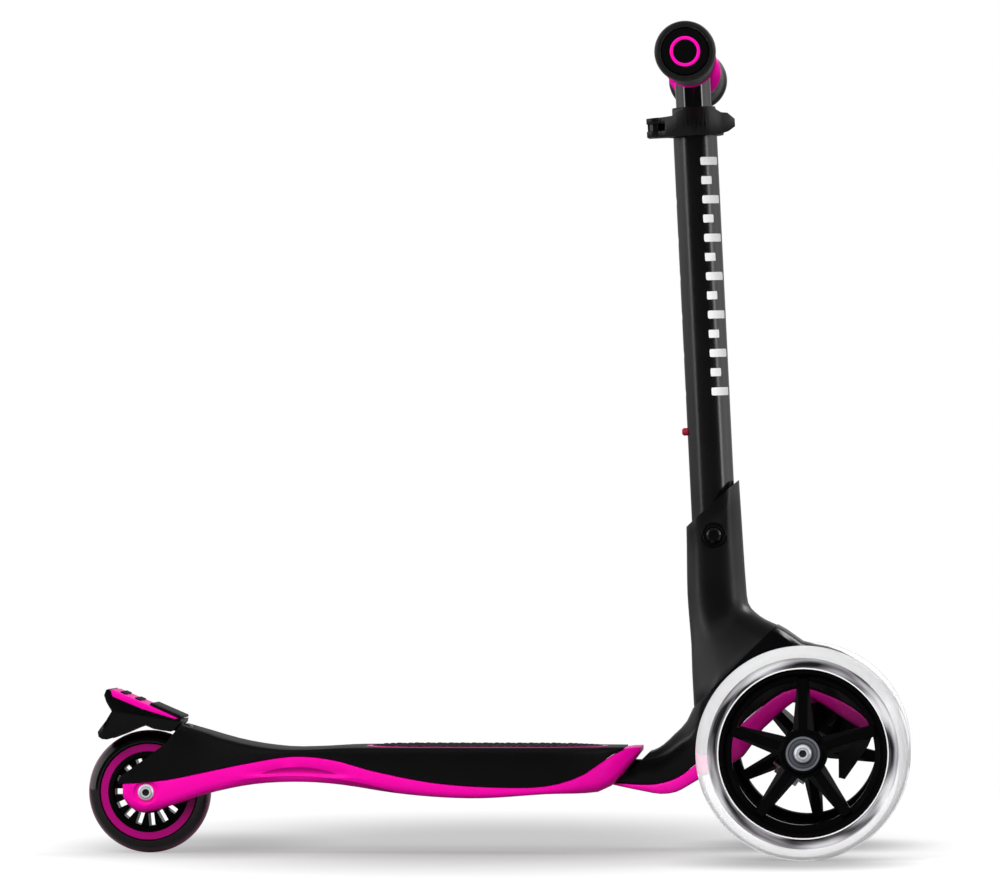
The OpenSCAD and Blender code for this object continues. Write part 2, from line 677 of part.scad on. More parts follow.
module lever_pin() color(zinc) on_column() {
    translate([cam_x, cam_y, clamp_low + 0.3]) cylinder(d = lever_pin_d, h = 11.4);
}

// ---- rear axle and wheel -------------------------------------------------------------

module rear_axle() color(steel) from_rear() {
    outer = fork_half_w - tray_inset;
    across(0, outer - 0.4, rear_r) difference() {
        union() {
            cylinder(d = axle_d, h = 2 * outer - 4);
            cylinder(d = 13, h = 1.8);
        }
        translate([0, 0, 8]) cylinder(d = 6, h = 2 * outer);
    }
}
module rear_axle_screw() color(steel) from_rear() {
    across(0, -(fork_half_w - tray_inset) + 2.2, rear_r) {
        socket_head(10.6, 3, 4);
        translate([0, 0, -30]) cylinder(d = 6, h = 30);
    }
}
module rear_washers() color(zinc) from_rear() {
    thick = (wheel_slot_w - rear_wheel_w) / 2 - seat_gap;
    both_sides() across(0, -rear_wheel_w / 2 - seat_gap, rear_r) tube(12, axle_d, thick);
}
// Half of a wheel's section, turned about the wheel's axle and mirrored to both sides
module turned(x, y, z) {
    translate([x, y, z]) rotate([90, 0, 0]) rotate_extrude($fn = 72) children();
}
module tyre_section(outer_r, seat_r, width, crown_r, bead) {
    half = width / 2;
    side = half - crown_r * 0.12;
    arc = [for (turn = [0:15:180])
        [outer_r - crown_r + crown_r * sin(turn), half * cos(turn) * 1.0]];
    polygon(concat([[seat_r, side], [seat_r + bead, half]], arc, [[seat_r + bead, -half], [seat_r, -side],
        [seat_r, -3], [seat_r - 1.5, -2], [seat_r - 1.5, 2], [seat_r, 3]]));
}
module rear_tyre() color("#35202f") from_rear() {
    turned(0, 0, rear_r) tyre_section(rear_r, rear_ring_d / 2, rear_wheel_w, 7, 1);
}
module rear_ring() color(magenta) from_rear() {
    out = rear_ring_d / 2 - run_gap;
    half = rear_wheel_w / 2 - 1.2;
    turned(0, 0, rear_r) polygon([[rear_core_d / 2, half], [out, half], [out, 3], [out - 1.5, 2], [out - 1.5, -2],
        [out, -3], [out, -half], [rear_core_d / 2, -half]]);
}
rear_slot_in = 14;
rear_slot_out = 22.2;
rear_slot_w = 3.9;
module rear_core() color(black) from_rear() {
    half = rear_wheel_w / 2;
    out = rear_core_d / 2 - run_gap;
    difference() {
        turned(0, 0, rear_r) polygon([[0, half], [bearing_d / 2 + 1.5, half], [bearing_d / 2 + 2.5, half - 3],
            [rear_slot_out, half - 4], [rear_slot_out + 1, half - 1], [out, half - 0.8], [out, 0.8 - half],
            [rear_slot_out + 1, 1 - half], [rear_slot_out, 4 - half], [bearing_d / 2 + 2.5, 3 - half],
            [bearing_d / 2 + 1.5, -half], [0, -half]]);
        across(0, half + 1, rear_r) {
            cylinder(d = axle_d + 4, h = rear_wheel_w + 2);
            cylinder(d = bearing_d, h = bearing_w + 1);
            translate([0, 0, rear_wheel_w + 1 - bearing_w]) cylinder(d = bearing_d, h = bearing_w + 1);
            for (k = [0:rear_slots - 1]) rotate([0, 0, (k + 0.5) * 360 / rear_slots])
                translate([rear_slot_in, -rear_slot_w / 2, 0]) cube([rear_slot_out - rear_slot_in, rear_slot_w, 40]);
        }
    }
}
// A ball bearing: its two shields lie a little below its rims
module bearing() {
    half = bearing_w / 2;
    inner = axle_d / 2 + run_gap;
    outer = bearing_d / 2 - run_gap;
    rotate_extrude() polygon([[inner, half], [inner + 2, half], [inner + 2.2, half - 0.5], [outer - 1.8, half - 0.5],
        [outer - 1.6, half], [outer, half], [outer, -half], [outer - 1.6, -half], [outer - 1.8, 0.5 - half],
        [inner + 2.2, 0.5 - half], [inner + 2, -half], [inner, -half]]);
}
module bearing_pair(x, y, z, hub_w) {
    for (side = [-1, 1]) across(x, y + side * (hub_w - bearing_w) / 2, z) bearing();
}
module rear_bearings() color(steel) from_rear() bearing_pair(0, 0, rear_r, rear_wheel_w);
module rear_spacer() color(zinc) from_rear() {
    len = rear_wheel_w - 2 * bearing_w;
    across(0, len / 2, rear_r) tube(axle_d + 3, axle_d + 2 * run_gap, len);
}

// ---- brake ---------------------------------------------------------------------------

brake_half_w = 26;
brake_pin_half = 20;
// The brake seen from above, narrower all round by inset
module brake_plan(inset) {
    length = brake_x + 33;
    translate([brake_x - 1.4 - length / 2, 0]) rounded_rect(length, 2 * (brake_half_w - inset), 9);
    translate([brake_x - 16.4, inset - brake_half_w]) square([15, 2 * (brake_half_w - inset)]);
}
module brake_side(points) {
    across(0, 60, 0) linear_extrude(height = 120) polygon(points);
}
// The arm's sides hang beside the tyre, and a round channel between them clears its tread
brake_channel_w = 27;
brake_channel_gap = 3;
module brake_arm() color(black) from_rear() {
    difference() {
        union() {
            intersection() {
                brake_side([[brake_x - 1.4, 87.6], [18, 87.4], [-3, 93.8], [-22.5, 101.8], [-24.2, 107.2],
                    [-26.2, 106.6], [-27.6, 103], [-26, 98.5], [-22.6, 92.6], [-26.5, 86.2], [-32, 79.2],
                    [-31.4, 76], [-29, 74.5], [-25.6, 74.2], [-16.5, 77.6], [-8, 81.3], [-1, 83.6], [4.7, 81.2],
                    [10, 80.2], [16, 79.4], [18.8, 81], [22.2, 85.2]]);
                translate([0, 0, 40]) linear_extrude(height = 90) brake_plan(0);
            }
            across(brake_x, brake_knuckle_w / 2, brake_z) cylinder(r = brake_knuckle_r, h = brake_knuckle_w);
            translate([brake_x - 9, -brake_knuckle_w / 2, brake_z - 0.5]) cube([9, brake_knuckle_w, 5]);
        }
        across(0, brake_channel_w / 2, rear_r) cylinder(r = rear_r + brake_channel_gap, h = brake_channel_w);
        across(brake_x, 40, brake_z) cylinder(d = brake_pin_d + 2 * run_gap, h = 80);
        across(brake_x, 4, brake_z) cylinder(d = 8, h = 8);
    }
}
module brake_cover() color(magenta) from_rear() {
    intersection() {
        brake_side([[-22.2, 102.1], [-3, 94.1], [18, 87.7], [21, 87.9], [4, 95.6], [-21.8, 106.4], [-23.5, 106.7]]);
        translate([0, 0, 60]) linear_extrude(height = 90) brake_plan(0.5);
    }
}
module brake_cap() color(black) from_rear() {
    half = brake_half_w - 1;
    across(0, half, 0) linear_extrude(height = 2 * half)
        polygon([[2, 96.8], [4.2, 95.9], [21.3, 88.2], [brake_x - 1.4, 88], [brake_x - 1.2, 89.6], [3, 98.2]]);
}
module brake_studs() color(rubber) from_rear() {
    for (x = [-16, -6.5], y = [-15:10:15]) translate([x, y, curve([[-22, 106.5], [4, 95.6]], x)])
        rotate([0, 22.7, 0]) translate([-2, -3, 0]) cube([4, 6, 1]);
}
module brake_pin() color(steel) from_rear() {
    across(brake_x, brake_pin_half, brake_z) cylinder(d = brake_pin_d, h = 2 * brake_pin_half);
}
module brake_spring() color(steel) from_rear() {
    across(brake_x, 3.5, brake_z) tube(brake_pin_d + 2.8, brake_pin_d + 0.6, 7);
}

// ---- steering truck ------------------------------------------------------------------

beam_end = wheel_y - front_wheel_w / 2 - 3;
beam_half = 10.5;
module truck_beam() color(black) from_front() {
    translate([0, 0, front_r]) difference() {
        union() {
            across(0, beam_end, 0) linear_extrude(height = 2 * beam_end)
                rounded_rect(2 * beam_half, 2 * beam_half, 5);
            rotate([0, 90 - kingpin_rake, 0]) translate([0, 0, -13]) cylinder(d = 28, h = 28);
        }
        rotate([0, 90 - kingpin_rake, 0]) translate([0, 0, -30]) cylinder(d = kingpin_d + 2 * run_gap, h = 60);
        both_sides() across(0, -beam_end + 30, 0) cylinder(d = axle_d, h = 40);
    }
}
module kingpin() color(steel) on_kingpin() {
    translate([0, 0, -24]) cylinder(d = 17, h = 4, $fn = 6);
    translate([0, 0, -20]) cylinder(d = 24, h = 1.6);
    translate([0, 0, -24]) cylinder(d = kingpin_d, h = kingpin_top + 24);
}
module steering_bushes() color("#d8d8d8") on_kingpin() {
    translate([0, 0, 15 + seat_gap]) tube(24, kingpin_d + 2 * run_gap, boss_low - 15 - seat_gap);
    translate([0, 0, -18.4]) tube(24, kingpin_d + 2 * run_gap, 18.4 - 13 - seat_gap);
}
// Blocks between the beam and their seats under the arch
spring_y = 32;
spring_d = 12;
spring_seat = 98.8;
module centering_springs() color(rubber) from_front() {
    spring_low = front_r + beam_half + seat_gap;
    for (y = [-1, 1]) translate([0, y * spring_y, spring_low])
        cylinder(d = spring_d, h = spring_seat - seat_gap - spring_low);
}
module front_axle_bolts() color(steel) from_front() {
    both_sides() across(0, -wheel_y - front_wheel_w / 2 - seat_gap, front_r) {
        socket_head(11.6, 4, 5);
        translate([0, 0, -front_wheel_w - 30]) cylinder(d = axle_d, h = front_wheel_w + 30);
    }
}
module front_washers() color(zinc) from_front() {
    both_sides() across(0, -beam_end, front_r) tube(13, axle_d, 3 - seat_gap);
}

// ---- front wheels --------------------------------------------------------------------

module front_tyre() color("#dfe3e8", 0.6) {
    turned(0, 0, 0) tyre_section(front_r, front_rim_d / 2, front_wheel_w, 7.2, 1.5);
}
// A blade along X: it tapers from the hub to the rim, and its flanks slope out from a narrow ridge
// on each face
blade_face_in = 4;
blade_flank = 7;
module blade() {
    half = front_wheel_w / 2 - blade_face_in;
    start = front_hub_d / 2 - blade_w / 2;
    reach = front_rim_inner_d / 2 + 2;
    ridge = blade_tip_w / 2 - 0.6;
    wide = blade_w / 2;
    intersection() {
        translate([start, 0, 0]) rotate([90, 0, 90]) linear_extrude(height = reach - start)
            polygon([[-ridge, half], [ridge, half], [wide, half - blade_flank], [wide, blade_flank - half],
                [ridge, -half], [-ridge, -half], [-wide, blade_flank - half], [-wide, half - blade_flank]]);
        translate([0, 0, -half]) linear_extrude(height = 2 * half)
            polygon([[start, -wide], [front_hub_d / 2, -wide], [reach, -blade_tip_w / 2],
                [reach, blade_tip_w / 2], [front_hub_d / 2, wide], [start, wide]]);
    }
}
module front_core() color(black) {
    half = front_wheel_w / 2;
    seat = front_rim_d / 2 - run_gap;
    in = front_rim_inner_d / 2;
    rotate([90, 0, 0]) difference() {
        union() {
            rotate_extrude($fn = 72) polygon([[in, 5], [in + 0.6, 6.8], [in + 3.4, 8.2], [in + 3.9, 10.4],
                [in + 5.4, half - 1.6], [seat, half - 1.6], [seat, 3], [seat - 1.5, 2], [seat - 1.5, -2],
                [seat, -3], [seat, 1.6 - half], [in + 5.4, 1.6 - half], [in + 3.9, -10.4], [in + 3.4, -8.2],
                [in + 0.6, -6.8], [in, -5]]);
            intersection() {
                union() {
                    for (k = [0:blades - 1]) rotate([0, 0, 90 + k * 360 / blades]) blade();
                }
                cylinder(r = in + 3, h = 100, center = true);
            }
            rotate_extrude() polygon([[0, half], [front_hub_d / 2 - 3.2, half], [front_hub_d / 2 - 2, half - 2],
                [front_hub_d / 2, half - 3], [front_hub_d / 2, 3 - half], [front_hub_d / 2 - 2, 2 - half],
                [front_hub_d / 2 - 3.2, -half], [0, -half]]);
        }
        cylinder(d = axle_d + 4, h = 100, center = true);
        for (side = [-1, 1]) translate([0, 0, side * half]) cylinder(d = bearing_d, h = 2 * bearing_w, center = true);
    }
}
module wheel_right() {
    from_front() translate([0, -wheel_y, front_r]) children();
}
// The left wheel is the same wheel turned round. Each wheel spins freely, and this one stands a part
// of a turn away from the other.
left_wheel_turn = 28;
module wheel_left() {
    from_front() translate([0, wheel_y, front_r]) rotate([0, left_wheel_turn, 0]) rotate([0, 0, 180]) children();
}
module front_spacer() color(zinc) {
    len = front_wheel_w - 2 * bearing_w;
    across(0, len / 2, 0) tube(axle_d + 3, axle_d + 2 * run_gap, len);
}
module front_bearings() color(steel) bearing_pair(0, 0, 0, front_wheel_w);
module front_tyre_right() wheel_right() front_tyre();
module front_core_right() wheel_right() front_core();
module front_bearings_right() wheel_right() front_bearings();
module front_spacer_right() wheel_right() front_spacer();
module front_tyre_left() wheel_left() front_tyre();
module front_core_left() wheel_left() front_core();
module front_bearings_left() wheel_left() front_bearings();
module front_spacer_left() wheel_left() front_spacer();

// ---- handlebar -----------------------------------------------------------------------

bar_end = bar_width / 2 - 5;
module upper_tube() color(black) on_column() {
    difference() {
        translate([0, 0, upper_tube_bottom]) tube(upper_tube_d, upper_tube_d - 2 * upper_wall, bar_s - upper_tube_bottom);
        across(0, 40, bar_s) cylinder(d = bar_d, h = 80);
        translate([-upper_tube_d, 0, button_s]) rotate([0, 90, 0]) cylinder(d = button_d + 0.4, h = upper_tube_d);
    }
}
module crossbar() color(black) on_column() {
    across(0, bar_end, bar_s) tube(bar_d, bar_d - 2 * bar_wall, 2 * bar_end);
}
grip_start = bar_width / 2 - grip_len;
grip_collar_w = 4;
// The right-hand pieces: their section is turned about the crossbar
module right_turned() {
    on_column() translate([0, 0, bar_s]) rotate([90, 0, 0]) rotate_extrude() children();
}
module grip_section() {
    bore = bar_d / 2 + run_gap;
    body = grip_d / 2;
    end = grip_end_d / 2;
    start = grip_start + grip_collar_w;
    full = bar_width / 2;
    ribs = [for (k = [0:7], p = [[0, 0], [2, 0.9], [4.2, 0.9], [6.2, 0]]) [body + p[1], start + 9 + k * 7 + p[0]]];
    polygon(concat([[bore, start], [body + 1.5, start], [body + 0.6, start + 4]], ribs,
        [[body + 0.8, full - 16], [end - 2.2, full - 9], [end - 0.4, full - 6.5], [end, full - 4.5], [end, full - 2.5],
            [end - 0.6, full - 0.8], [end - 1.8, full], [grip_cap_r + 0.2, full], [grip_cap_r + 0.2, full - 3],
            [bore, full - 3]]));
}
grip_cap_r = 15.4;
module cap_section() {
    full = bar_width / 2;
    bore = bar_d / 2 - bar_wall - run_gap;
    polygon([[0, full - 0.6], [grip_cap_r - 1, full - 0.6], [grip_cap_r, full - 1.4], [grip_cap_r, full - 3 + 0.1],
        [bar_d / 2, full - 3 + 0.1], [bore, full - 3], [bore, full - 18], [0, full - 18]]);
}
module collar_section() {
    bore = bar_d / 2 + run_gap;
    full = collar_d / 2;
    polygon([[bore, grip_start], [full - 1, grip_start], [full, grip_start + 1], [full, grip_start + grip_collar_w - 1],
        [full - 1, grip_start + grip_collar_w], [bore, grip_start + grip_collar_w]]);
}
module grip_right() color(rubber) right_turned() grip_section();
module grip_left() mirror([0, 1, 0]) grip_right();
module grip_cap_right() color(black) right_turned() cap_section();
module grip_cap_left() mirror([0, 1, 0]) grip_cap_right();
module grip_collar_right() color(magenta) right_turned() collar_section();
module grip_collar_left() mirror([0, 1, 0]) grip_collar_right();

// ---- height button -------------------------------------------------------------------

flange_t = 1;
flange_x = -(upper_tube_d / 2 - upper_wall - 1.1);
button_tip = -(lower_tube_d / 2 + button_out);
module snap_button() color("#d01828") on_column() {
    translate([0, 0, button_s]) rotate([0, 90, 0]) {
        translate([0, 0, button_tip + 1]) cylinder(d = button_d, h = flange_x - button_tip - 1);
        translate([0, 0, button_tip]) cylinder(d1 = button_d - 2, d2 = button_d, h = 1);
        translate([0, 0, flange_x]) cylinder(d = button_d + 2, h = flange_t);
    }
}
module snap_spring() color(steel) on_column() {
    bore = upper_tube_d / 2 - upper_wall - 0.6;
    across(0, 2.5, 0) linear_extrude(height = 5) polygon([[flange_x + flange_t + 0.2, button_s + 4],
        [flange_x + flange_t + 0.2, button_s - 5], [bore - 4.5, button_s - 26], [bore, button_s - 20], [bore, button_s + 4],
        [bore - 0.7, button_s + 4], [bore - 0.7, button_s - 19.5], [bore - 4.6, button_s - 24.4],
        [flange_x + flange_t + 0.9, button_s - 4.8], [flange_x + flange_t + 0.9, button_s + 4]]);
}

// ---- one line for each piece ---------------------------------------------------------

deck_shell();
deck_tray();
deck_pad();
deck_inlay();
tray_screws();
neck();
neck_trim();
neck_bolts();
crown_screws();
column_base();
column_bolt();
column_nut();
lower_tube();
tube_bush();
clamp_collar();
clamp_bolt();
clamp_nut();
rear_axle();
rear_axle_screw();
rear_washers();
kingpin();
steering_bushes();
centering_springs();
brake_pin();
brake_arm();
brake_cover();
brake_cap();
brake_studs();
brake_spring();
rear_tyre();
rear_ring();
rear_core();
rear_bearings();
rear_spacer();
truck_beam();
front_axle_bolts();
front_washers();
front_tyre_right();
front_core_right();
front_bearings_right();
front_spacer_right();
front_tyre_left();
front_core_left();
front_bearings_left();
front_spacer_left();
upper_tube();
crossbar();
grip_right();
grip_left();
grip_collar_right();
grip_collar_left();
grip_cap_right();
grip_cap_left();
snap_spring();
snap_button();
clamp_lever();
lever_pin();
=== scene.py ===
"""Kick scooter with two front wheels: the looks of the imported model, laid out as an add-on."""

import json
import math

import bpy
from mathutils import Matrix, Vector


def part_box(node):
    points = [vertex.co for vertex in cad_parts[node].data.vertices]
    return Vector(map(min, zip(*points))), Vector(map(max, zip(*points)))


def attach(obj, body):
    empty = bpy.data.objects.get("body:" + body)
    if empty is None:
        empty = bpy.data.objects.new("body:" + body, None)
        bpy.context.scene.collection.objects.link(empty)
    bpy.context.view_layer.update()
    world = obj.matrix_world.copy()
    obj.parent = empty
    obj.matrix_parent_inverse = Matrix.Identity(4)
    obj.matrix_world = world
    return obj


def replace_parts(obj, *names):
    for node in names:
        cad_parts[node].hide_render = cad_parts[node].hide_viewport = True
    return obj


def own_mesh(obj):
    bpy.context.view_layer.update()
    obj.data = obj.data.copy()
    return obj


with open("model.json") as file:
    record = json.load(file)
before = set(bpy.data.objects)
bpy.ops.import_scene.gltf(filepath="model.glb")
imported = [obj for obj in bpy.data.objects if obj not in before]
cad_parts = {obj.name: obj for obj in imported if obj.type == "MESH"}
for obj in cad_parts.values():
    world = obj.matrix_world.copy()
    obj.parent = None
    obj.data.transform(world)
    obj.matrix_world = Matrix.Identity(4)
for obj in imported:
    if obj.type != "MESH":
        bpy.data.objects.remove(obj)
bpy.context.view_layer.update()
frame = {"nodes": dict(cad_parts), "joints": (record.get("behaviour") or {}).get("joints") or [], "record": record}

bl_info = {
    "name": "Kick Scooter",
    "version": (1, 0, 0),
    "blender": (4, 5, 0),
    "location": "3D View > Sidebar > Scooter",
    "description": "Builds the finish, the fine pieces and the studio of a kick scooter",
    "category": "Add Mesh",
}

MM = 0.001
NODES = frame["nodes"]
RECORD = frame["record"]
BODY = {node: body for body, nodes in RECORD["behaviour"]["bodies"].items() for node in nodes}
AXIS = {joint["name"]: Vector(joint["axis"]) for joint in frame["joints"]}
SIDES = (("right", -1), ("left", 1))
MERGE_BELOW = 0.01 * MM
# Degrees between two faces: joined as one flat face, shaded as one surface, and given an eased edge.
FLAT_BELOW, SMOOTH_BELOW, EASED_ABOVE = 0.5, 32, 40


def linear(code):
    """Linear red, green and blue of an sRGB hex colour."""
    parts = [int(code[i:i + 2], 16) / 255 for i in (1, 3, 5)]
    return tuple(c / 12.92 if c <= 0.04045 else ((c + 0.055) / 1.055) ** 2.4 for c in parts)


def middle(node):
    """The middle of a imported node's box."""
    low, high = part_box(node)
    return (Vector(low) + Vector(high)) / 2


def colour(title, note, code):
    """A colour property with its default as an sRGB hex value."""
    return bpy.props.FloatVectorProperty(
        name=title, description=note, subtype="COLOR", size=3, min=0, max=1, default=linear(code))


def length(title, note, value, low, high):
    """A length property in metres."""
    return bpy.props.FloatProperty(
        name=title, description=note, unit="LENGTH", subtype="DISTANCE", default=value, min=low, max=high)


class ScooterColours(bpy.types.PropertyGroup):
    """Colours of the mouldings, the tyres and the metal."""

    shell: colour("Deck plastic", "Colour of the deck's upper moulding", "#070607")
    black: colour("Black plastic", "Colour of the other black mouldings", "#060607")
    accent: colour("Accent plastic", "Colour of the bright mouldings", "#f800aa")
    rubber: colour("Rubber", "Colour of the grips and the pad", "#0d0d0e")
    coat: colour("Tube coating", "Colour of the tubes' powder coat", "#050506")
    steel: colour("Steel", "Colour of the axles and screws", "#c9ccd0")
    bearing: colour("Bearing", "Colour of the ball bearings", "#6c6e72")
    zinc: colour("Zinc", "Colour of the plated parts", "#b4b8bd")
    clear: colour("Front tread", "Colour of the frosted clear tyres", "#fafafb")
    smoke: colour("Rear tyre", "Colour of the dark cast tyre", "#070407")
    button: colour("Button", "Colour of the height button", "#a01030")
    # The ink colour is also that of the painted highlight rings at the front rims.
    ink: colour("Ink", "Colour of the printed height scale", "#ffffff")


class ScooterSizes(bpy.types.PropertyGroup):
    """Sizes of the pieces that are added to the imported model."""

    tread: length("Tread", "Depth of the frosted tread of a front tyre", 0.00765, 0.004, 0.012)
    scale_bar: length("Scale bar", "Height of a bar of the height scale", 0.0052, 0.001, 0.01)
    scale_pitch: length("Scale pitch", "Distance between the bars of the height scale", 0.0125, 0.006, 0.025)
    ring_radius: length("Cap ring", "Middle radius of the ring on a grip's cap", 0.0086, 0.004, 0.013)
    stud_pitch: length("Stud pitch", "Distance between the studs of the deck's pad", 0.0075, 0.004, 0.02)


class ScooterStudio(bpy.types.PropertyGroup):
    """Light levels of the studio."""

    ambient: bpy.props.FloatProperty(
        name="Ambient", description="Strength of the even light from all sides", default=0.45, min=0, max=2)
    key: bpy.props.FloatProperty(
        name="Key light", description="Power of the large lamp in front of the scooter", subtype="POWER",
        default=41.0, min=0, max=500)
    rim: bpy.props.FloatProperty(
        name="Rim light", description="Power of the lamp behind the scooter", subtype="POWER", default=20.0,
        min=0, max=500)


# The property groups, under the names that the scene holds them by.
GROUPS = {
    "scooter_colours": ScooterColours, "scooter_sizes": ScooterSizes, "scooter_studio": ScooterStudio,
}


# ---- materials -----------------------------------------------------------------------

# Settings that several nodes share.
SMOOTH = {"interpolation_type": "SMOOTHSTEP"}
TIMES = {"operation": "MULTIPLY"}
TINTED = {"data_type": "RGBA", "blend_type": "MULTIPLY"}


def add(tree, kind, settings=None, **inputs):
    """Adds a node, sets its settings, and sets or links its inputs.

    An input goes by its name, with _ for a space, or by its number, as in i0.
    stops in the settings are a colour ramp's places and sRGB hex colours.
    """
    node = tree.nodes.new(kind)
    settings = dict(settings or {})
    stops = settings.pop("stops", None)
    for name, value in settings.items():
        setattr(node, name, value)
    if stops:
        while len(node.color_ramp.elements) < len(stops):
            node.color_ramp.elements.new(1.0)
        for element, (position, shade) in zip(node.color_ramp.elements, stops):
            element.position = position
            element.color = rgba(linear(shade))
    for name, value in inputs.items():
        numbered = name[0] == "i" and name[1:].isdigit()
        socket = node.inputs[int(name[1:]) if numbered else name.replace("_", " ")]
        if isinstance(value, bpy.types.NodeSocket):
            tree.links.new(value, socket)
        else:
            socket.default_value = value
    return node


def start_material(name):
    """An empty material, its nodes, and the place on the piece in metres."""
    material = bpy.data.materials.new(name)
    material.use_nodes = True
    tree = material.node_tree
    tree.nodes.clear()
    place = add(tree, "ShaderNodeTexCoord").outputs["Object"]
    return material, tree, place


def finish_material(tree, place, settings, patches=None, grain=None):
    """Principled surface. patches vary its roughness, and grain is a row of bumps.

    patches = (size, low, high): soft patches of that size, with roughness from low to high.
    grain = [(size, depth), ...]: noise of that size and depth, in metres.
    """
    shader = add(tree, "ShaderNodeBsdfPrincipled", **settings)
    if patches:
        size, low, high = patches
        cloud = add(tree, "ShaderNodeTexNoise", Vector=place, Scale=1 / size, Detail=4.0)
        level = add(
            tree, "ShaderNodeMapRange", Value=cloud.outputs["Fac"], From_Min=0.3, From_Max=0.7,
            To_Min=low, To_Max=high)
        tree.links.new(level.outputs["Result"], shader.inputs["Roughness"])
    normal = None
    for size, depth in grain or ():
        noise = add(tree, "ShaderNodeTexNoise", Vector=place, Scale=1 / size, Detail=2.0)
        bump = add(tree, "ShaderNodeBump", Height=noise.outputs["Fac"], Distance=depth, Strength=1.0)
        if normal:
            tree.links.new(normal, bump.inputs["Normal"])
        normal = bump.outputs["Normal"]
    if normal:
        tree.links.new(normal, shader.inputs["Normal"])
    add(tree, "ShaderNodeOutputMaterial", Surface=shader.outputs["BSDF"])
    return shader


def rgba(values, gain=1.0):
    """A colour with full alpha, from three values, brighter or deeper by the gain."""
    return (*(min(1.0, gain * value) for value in values), 1.0)


def around(tree, place, centre):
    """Distance from an axle that runs across, and the direction from it as a unit vector."""
    local = add(
        tree, "ShaderNodeMapping", Vector=place, Location=(-centre[0], 0, -centre[2]), Scale=(1, 0, 1))
    reach = add(tree, "ShaderNodeVectorMath", {"operation": "LENGTH"}, i0=local.outputs["Vector"])
    way = add(tree, "ShaderNodeVectorMath", {"operation": "NORMALIZE"}, i0=local.outputs["Vector"])
    return reach.outputs["Value"], way.outputs["Vector"]


def polished_plastic(name, shade, rough=(0.2, 0.3), ior=1.4):
    """ABS from a polished mould: an even gloss with a faint waviness from shrinkage."""
    material, tree, place = start_material(name)
    finish_material(
        tree, place, {"Base_Color": rgba(shade), "IOR": ior}, patches=(30 * MM, *rough),
        grain=[(18 * MM, 0.04 * MM)])
    return material


def arched_plastic(name, shade, centre):
    """The trim's ABS, with painted shade: darker within reach of the axle, on the arch between the front wheels.
    """
    arch_inside, arch_outside = 46 * MM, 62 * MM
    material, tree, place = start_material(name)
    shader = finish_material(
        tree, place, {"IOR": 1.35}, patches=(30 * MM, 0.25, 0.32), grain=[(18 * MM, 0.04 * MM)])
    reach, _ = around(tree, place, centre)
    # Painted shade: the trim is a third as bright near the axle, and full colour beyond the arch's outer reach.
    depth = add(
        tree, "ShaderNodeMapRange", SMOOTH, Value=reach, From_Min=arch_inside, From_Max=arch_outside)
    tint = add(
        tree, "ShaderNodeMix", {"data_type": "RGBA"}, i0=depth.outputs["Result"], i6=rgba(shade, 0.36),
        i7=rgba(shade))
    tree.links.new(tint.outputs[2], shader.inputs["Base Color"])
    return material


def ledge(tree, axes, gate, peak, top, bow, depth):
    """Painted shade below an arched line in a flank: darkest just below the line, and gone at the given depth
    below it.

    The line is highest at the peak, a place along X, where its height is top, and falls by bow times the distance
    squared. The shade shows only where the gate is 1.
    """
    run = add(tree, "ShaderNodeMath", {"operation": "SUBTRACT"}, i0=axes.outputs["X"], i1=peak)
    rise = add(tree, "ShaderNodeMath", TIMES, i0=run.outputs[0], i1=run.outputs[0])
    lip = add(tree, "ShaderNodeMath", {"operation": "MULTIPLY_ADD"}, i0=rise.outputs[0], i1=-bow, i2=top)
    drop = add(tree, "ShaderNodeMath", {"operation": "SUBTRACT"}, i0=lip.outputs[0], i1=axes.outputs["Z"])
    share = add(tree, "ShaderNodeMath", {"operation": "DIVIDE"}, i0=drop.outputs[0], i1=depth)
    # Painted shade: #aaaaaa just below the line, white again at the given depth.
    tone = add(
        tree, "ShaderNodeValToRGB", {"stops": [(0.0, "#ffffff"), (0.12, "#aaaaaa"), (1.0, "#ffffff")]},
        Fac=share.outputs[0])
    shown = add(
        tree, "ShaderNodeMix", {"data_type": "RGBA"}, i0=gate.outputs["Result"], i6=(1, 1, 1, 1),
        i7=tone.outputs["Color"])
    return shown.outputs[2]


def waisted_plastic(name, shade):
    """The tray's gloss ABS, with painted shade: each flank of its waist is darker below an arched line, and again
    below a lower line on its front part.
    """
    sill_low, sill_high = 52.1 * MM, 52.9 * MM
    lip_starts, lip_full = -178 * MM, -152 * MM
    material, tree, place = start_material(name)
    shader = finish_material(
        tree, place, {"IOR": 1.24}, patches=(30 * MM, 0.25, 0.32), grain=[(18 * MM, 0.04 * MM)])
    axes = add(tree, "ShaderNodeSeparateXYZ", Vector=place)
    above = add(
        tree, "ShaderNodeMapRange", Value=axes.outputs["Z"], From_Min=sill_low, From_Max=sill_high)
    # Painted shade below the upper arched line, and below the lower one from lip_starts forward.
    recess = ledge(tree, axes, above, peak=-127 * MM, top=57.6 * MM, bow=7.1, depth=5.5 * MM)
    ahead = add(
        tree, "ShaderNodeMapRange", SMOOTH, Value=axes.outputs["X"], From_Min=lip_starts,
        From_Max=lip_full)
    lower = ledge(tree, axes, ahead, peak=-130 * MM, top=51.7 * MM, bow=2.3, depth=4 * MM)
    both = add(tree, "ShaderNodeMix", TINTED, i0=1.0, i6=recess, i7=lower)
    tint = add(tree, "ShaderNodeMix", TINTED, i0=1.0, i6=both.outputs[2], i7=rgba(shade))
    tree.links.new(tint.outputs[2], shader.inputs["Base Color"])
    return material


def textured_plastic(name, shade, rough=(0.34, 0.42), ior=1.42):
    """Glass-filled nylon from a spark-eroded mould: a fine shallow grain with a soft sheen."""
    # The real grain, about 0.2 mm, is too fine to show, so it is drawn at 1.1 mm.
    material, tree, place = start_material(name)
    finish_material(
        tree, place, {"Base_Color": rgba(shade), "IOR": ior}, patches=(20 * MM, *rough),
        grain=[(1.1 * MM, 0.012 * MM)])
    return material


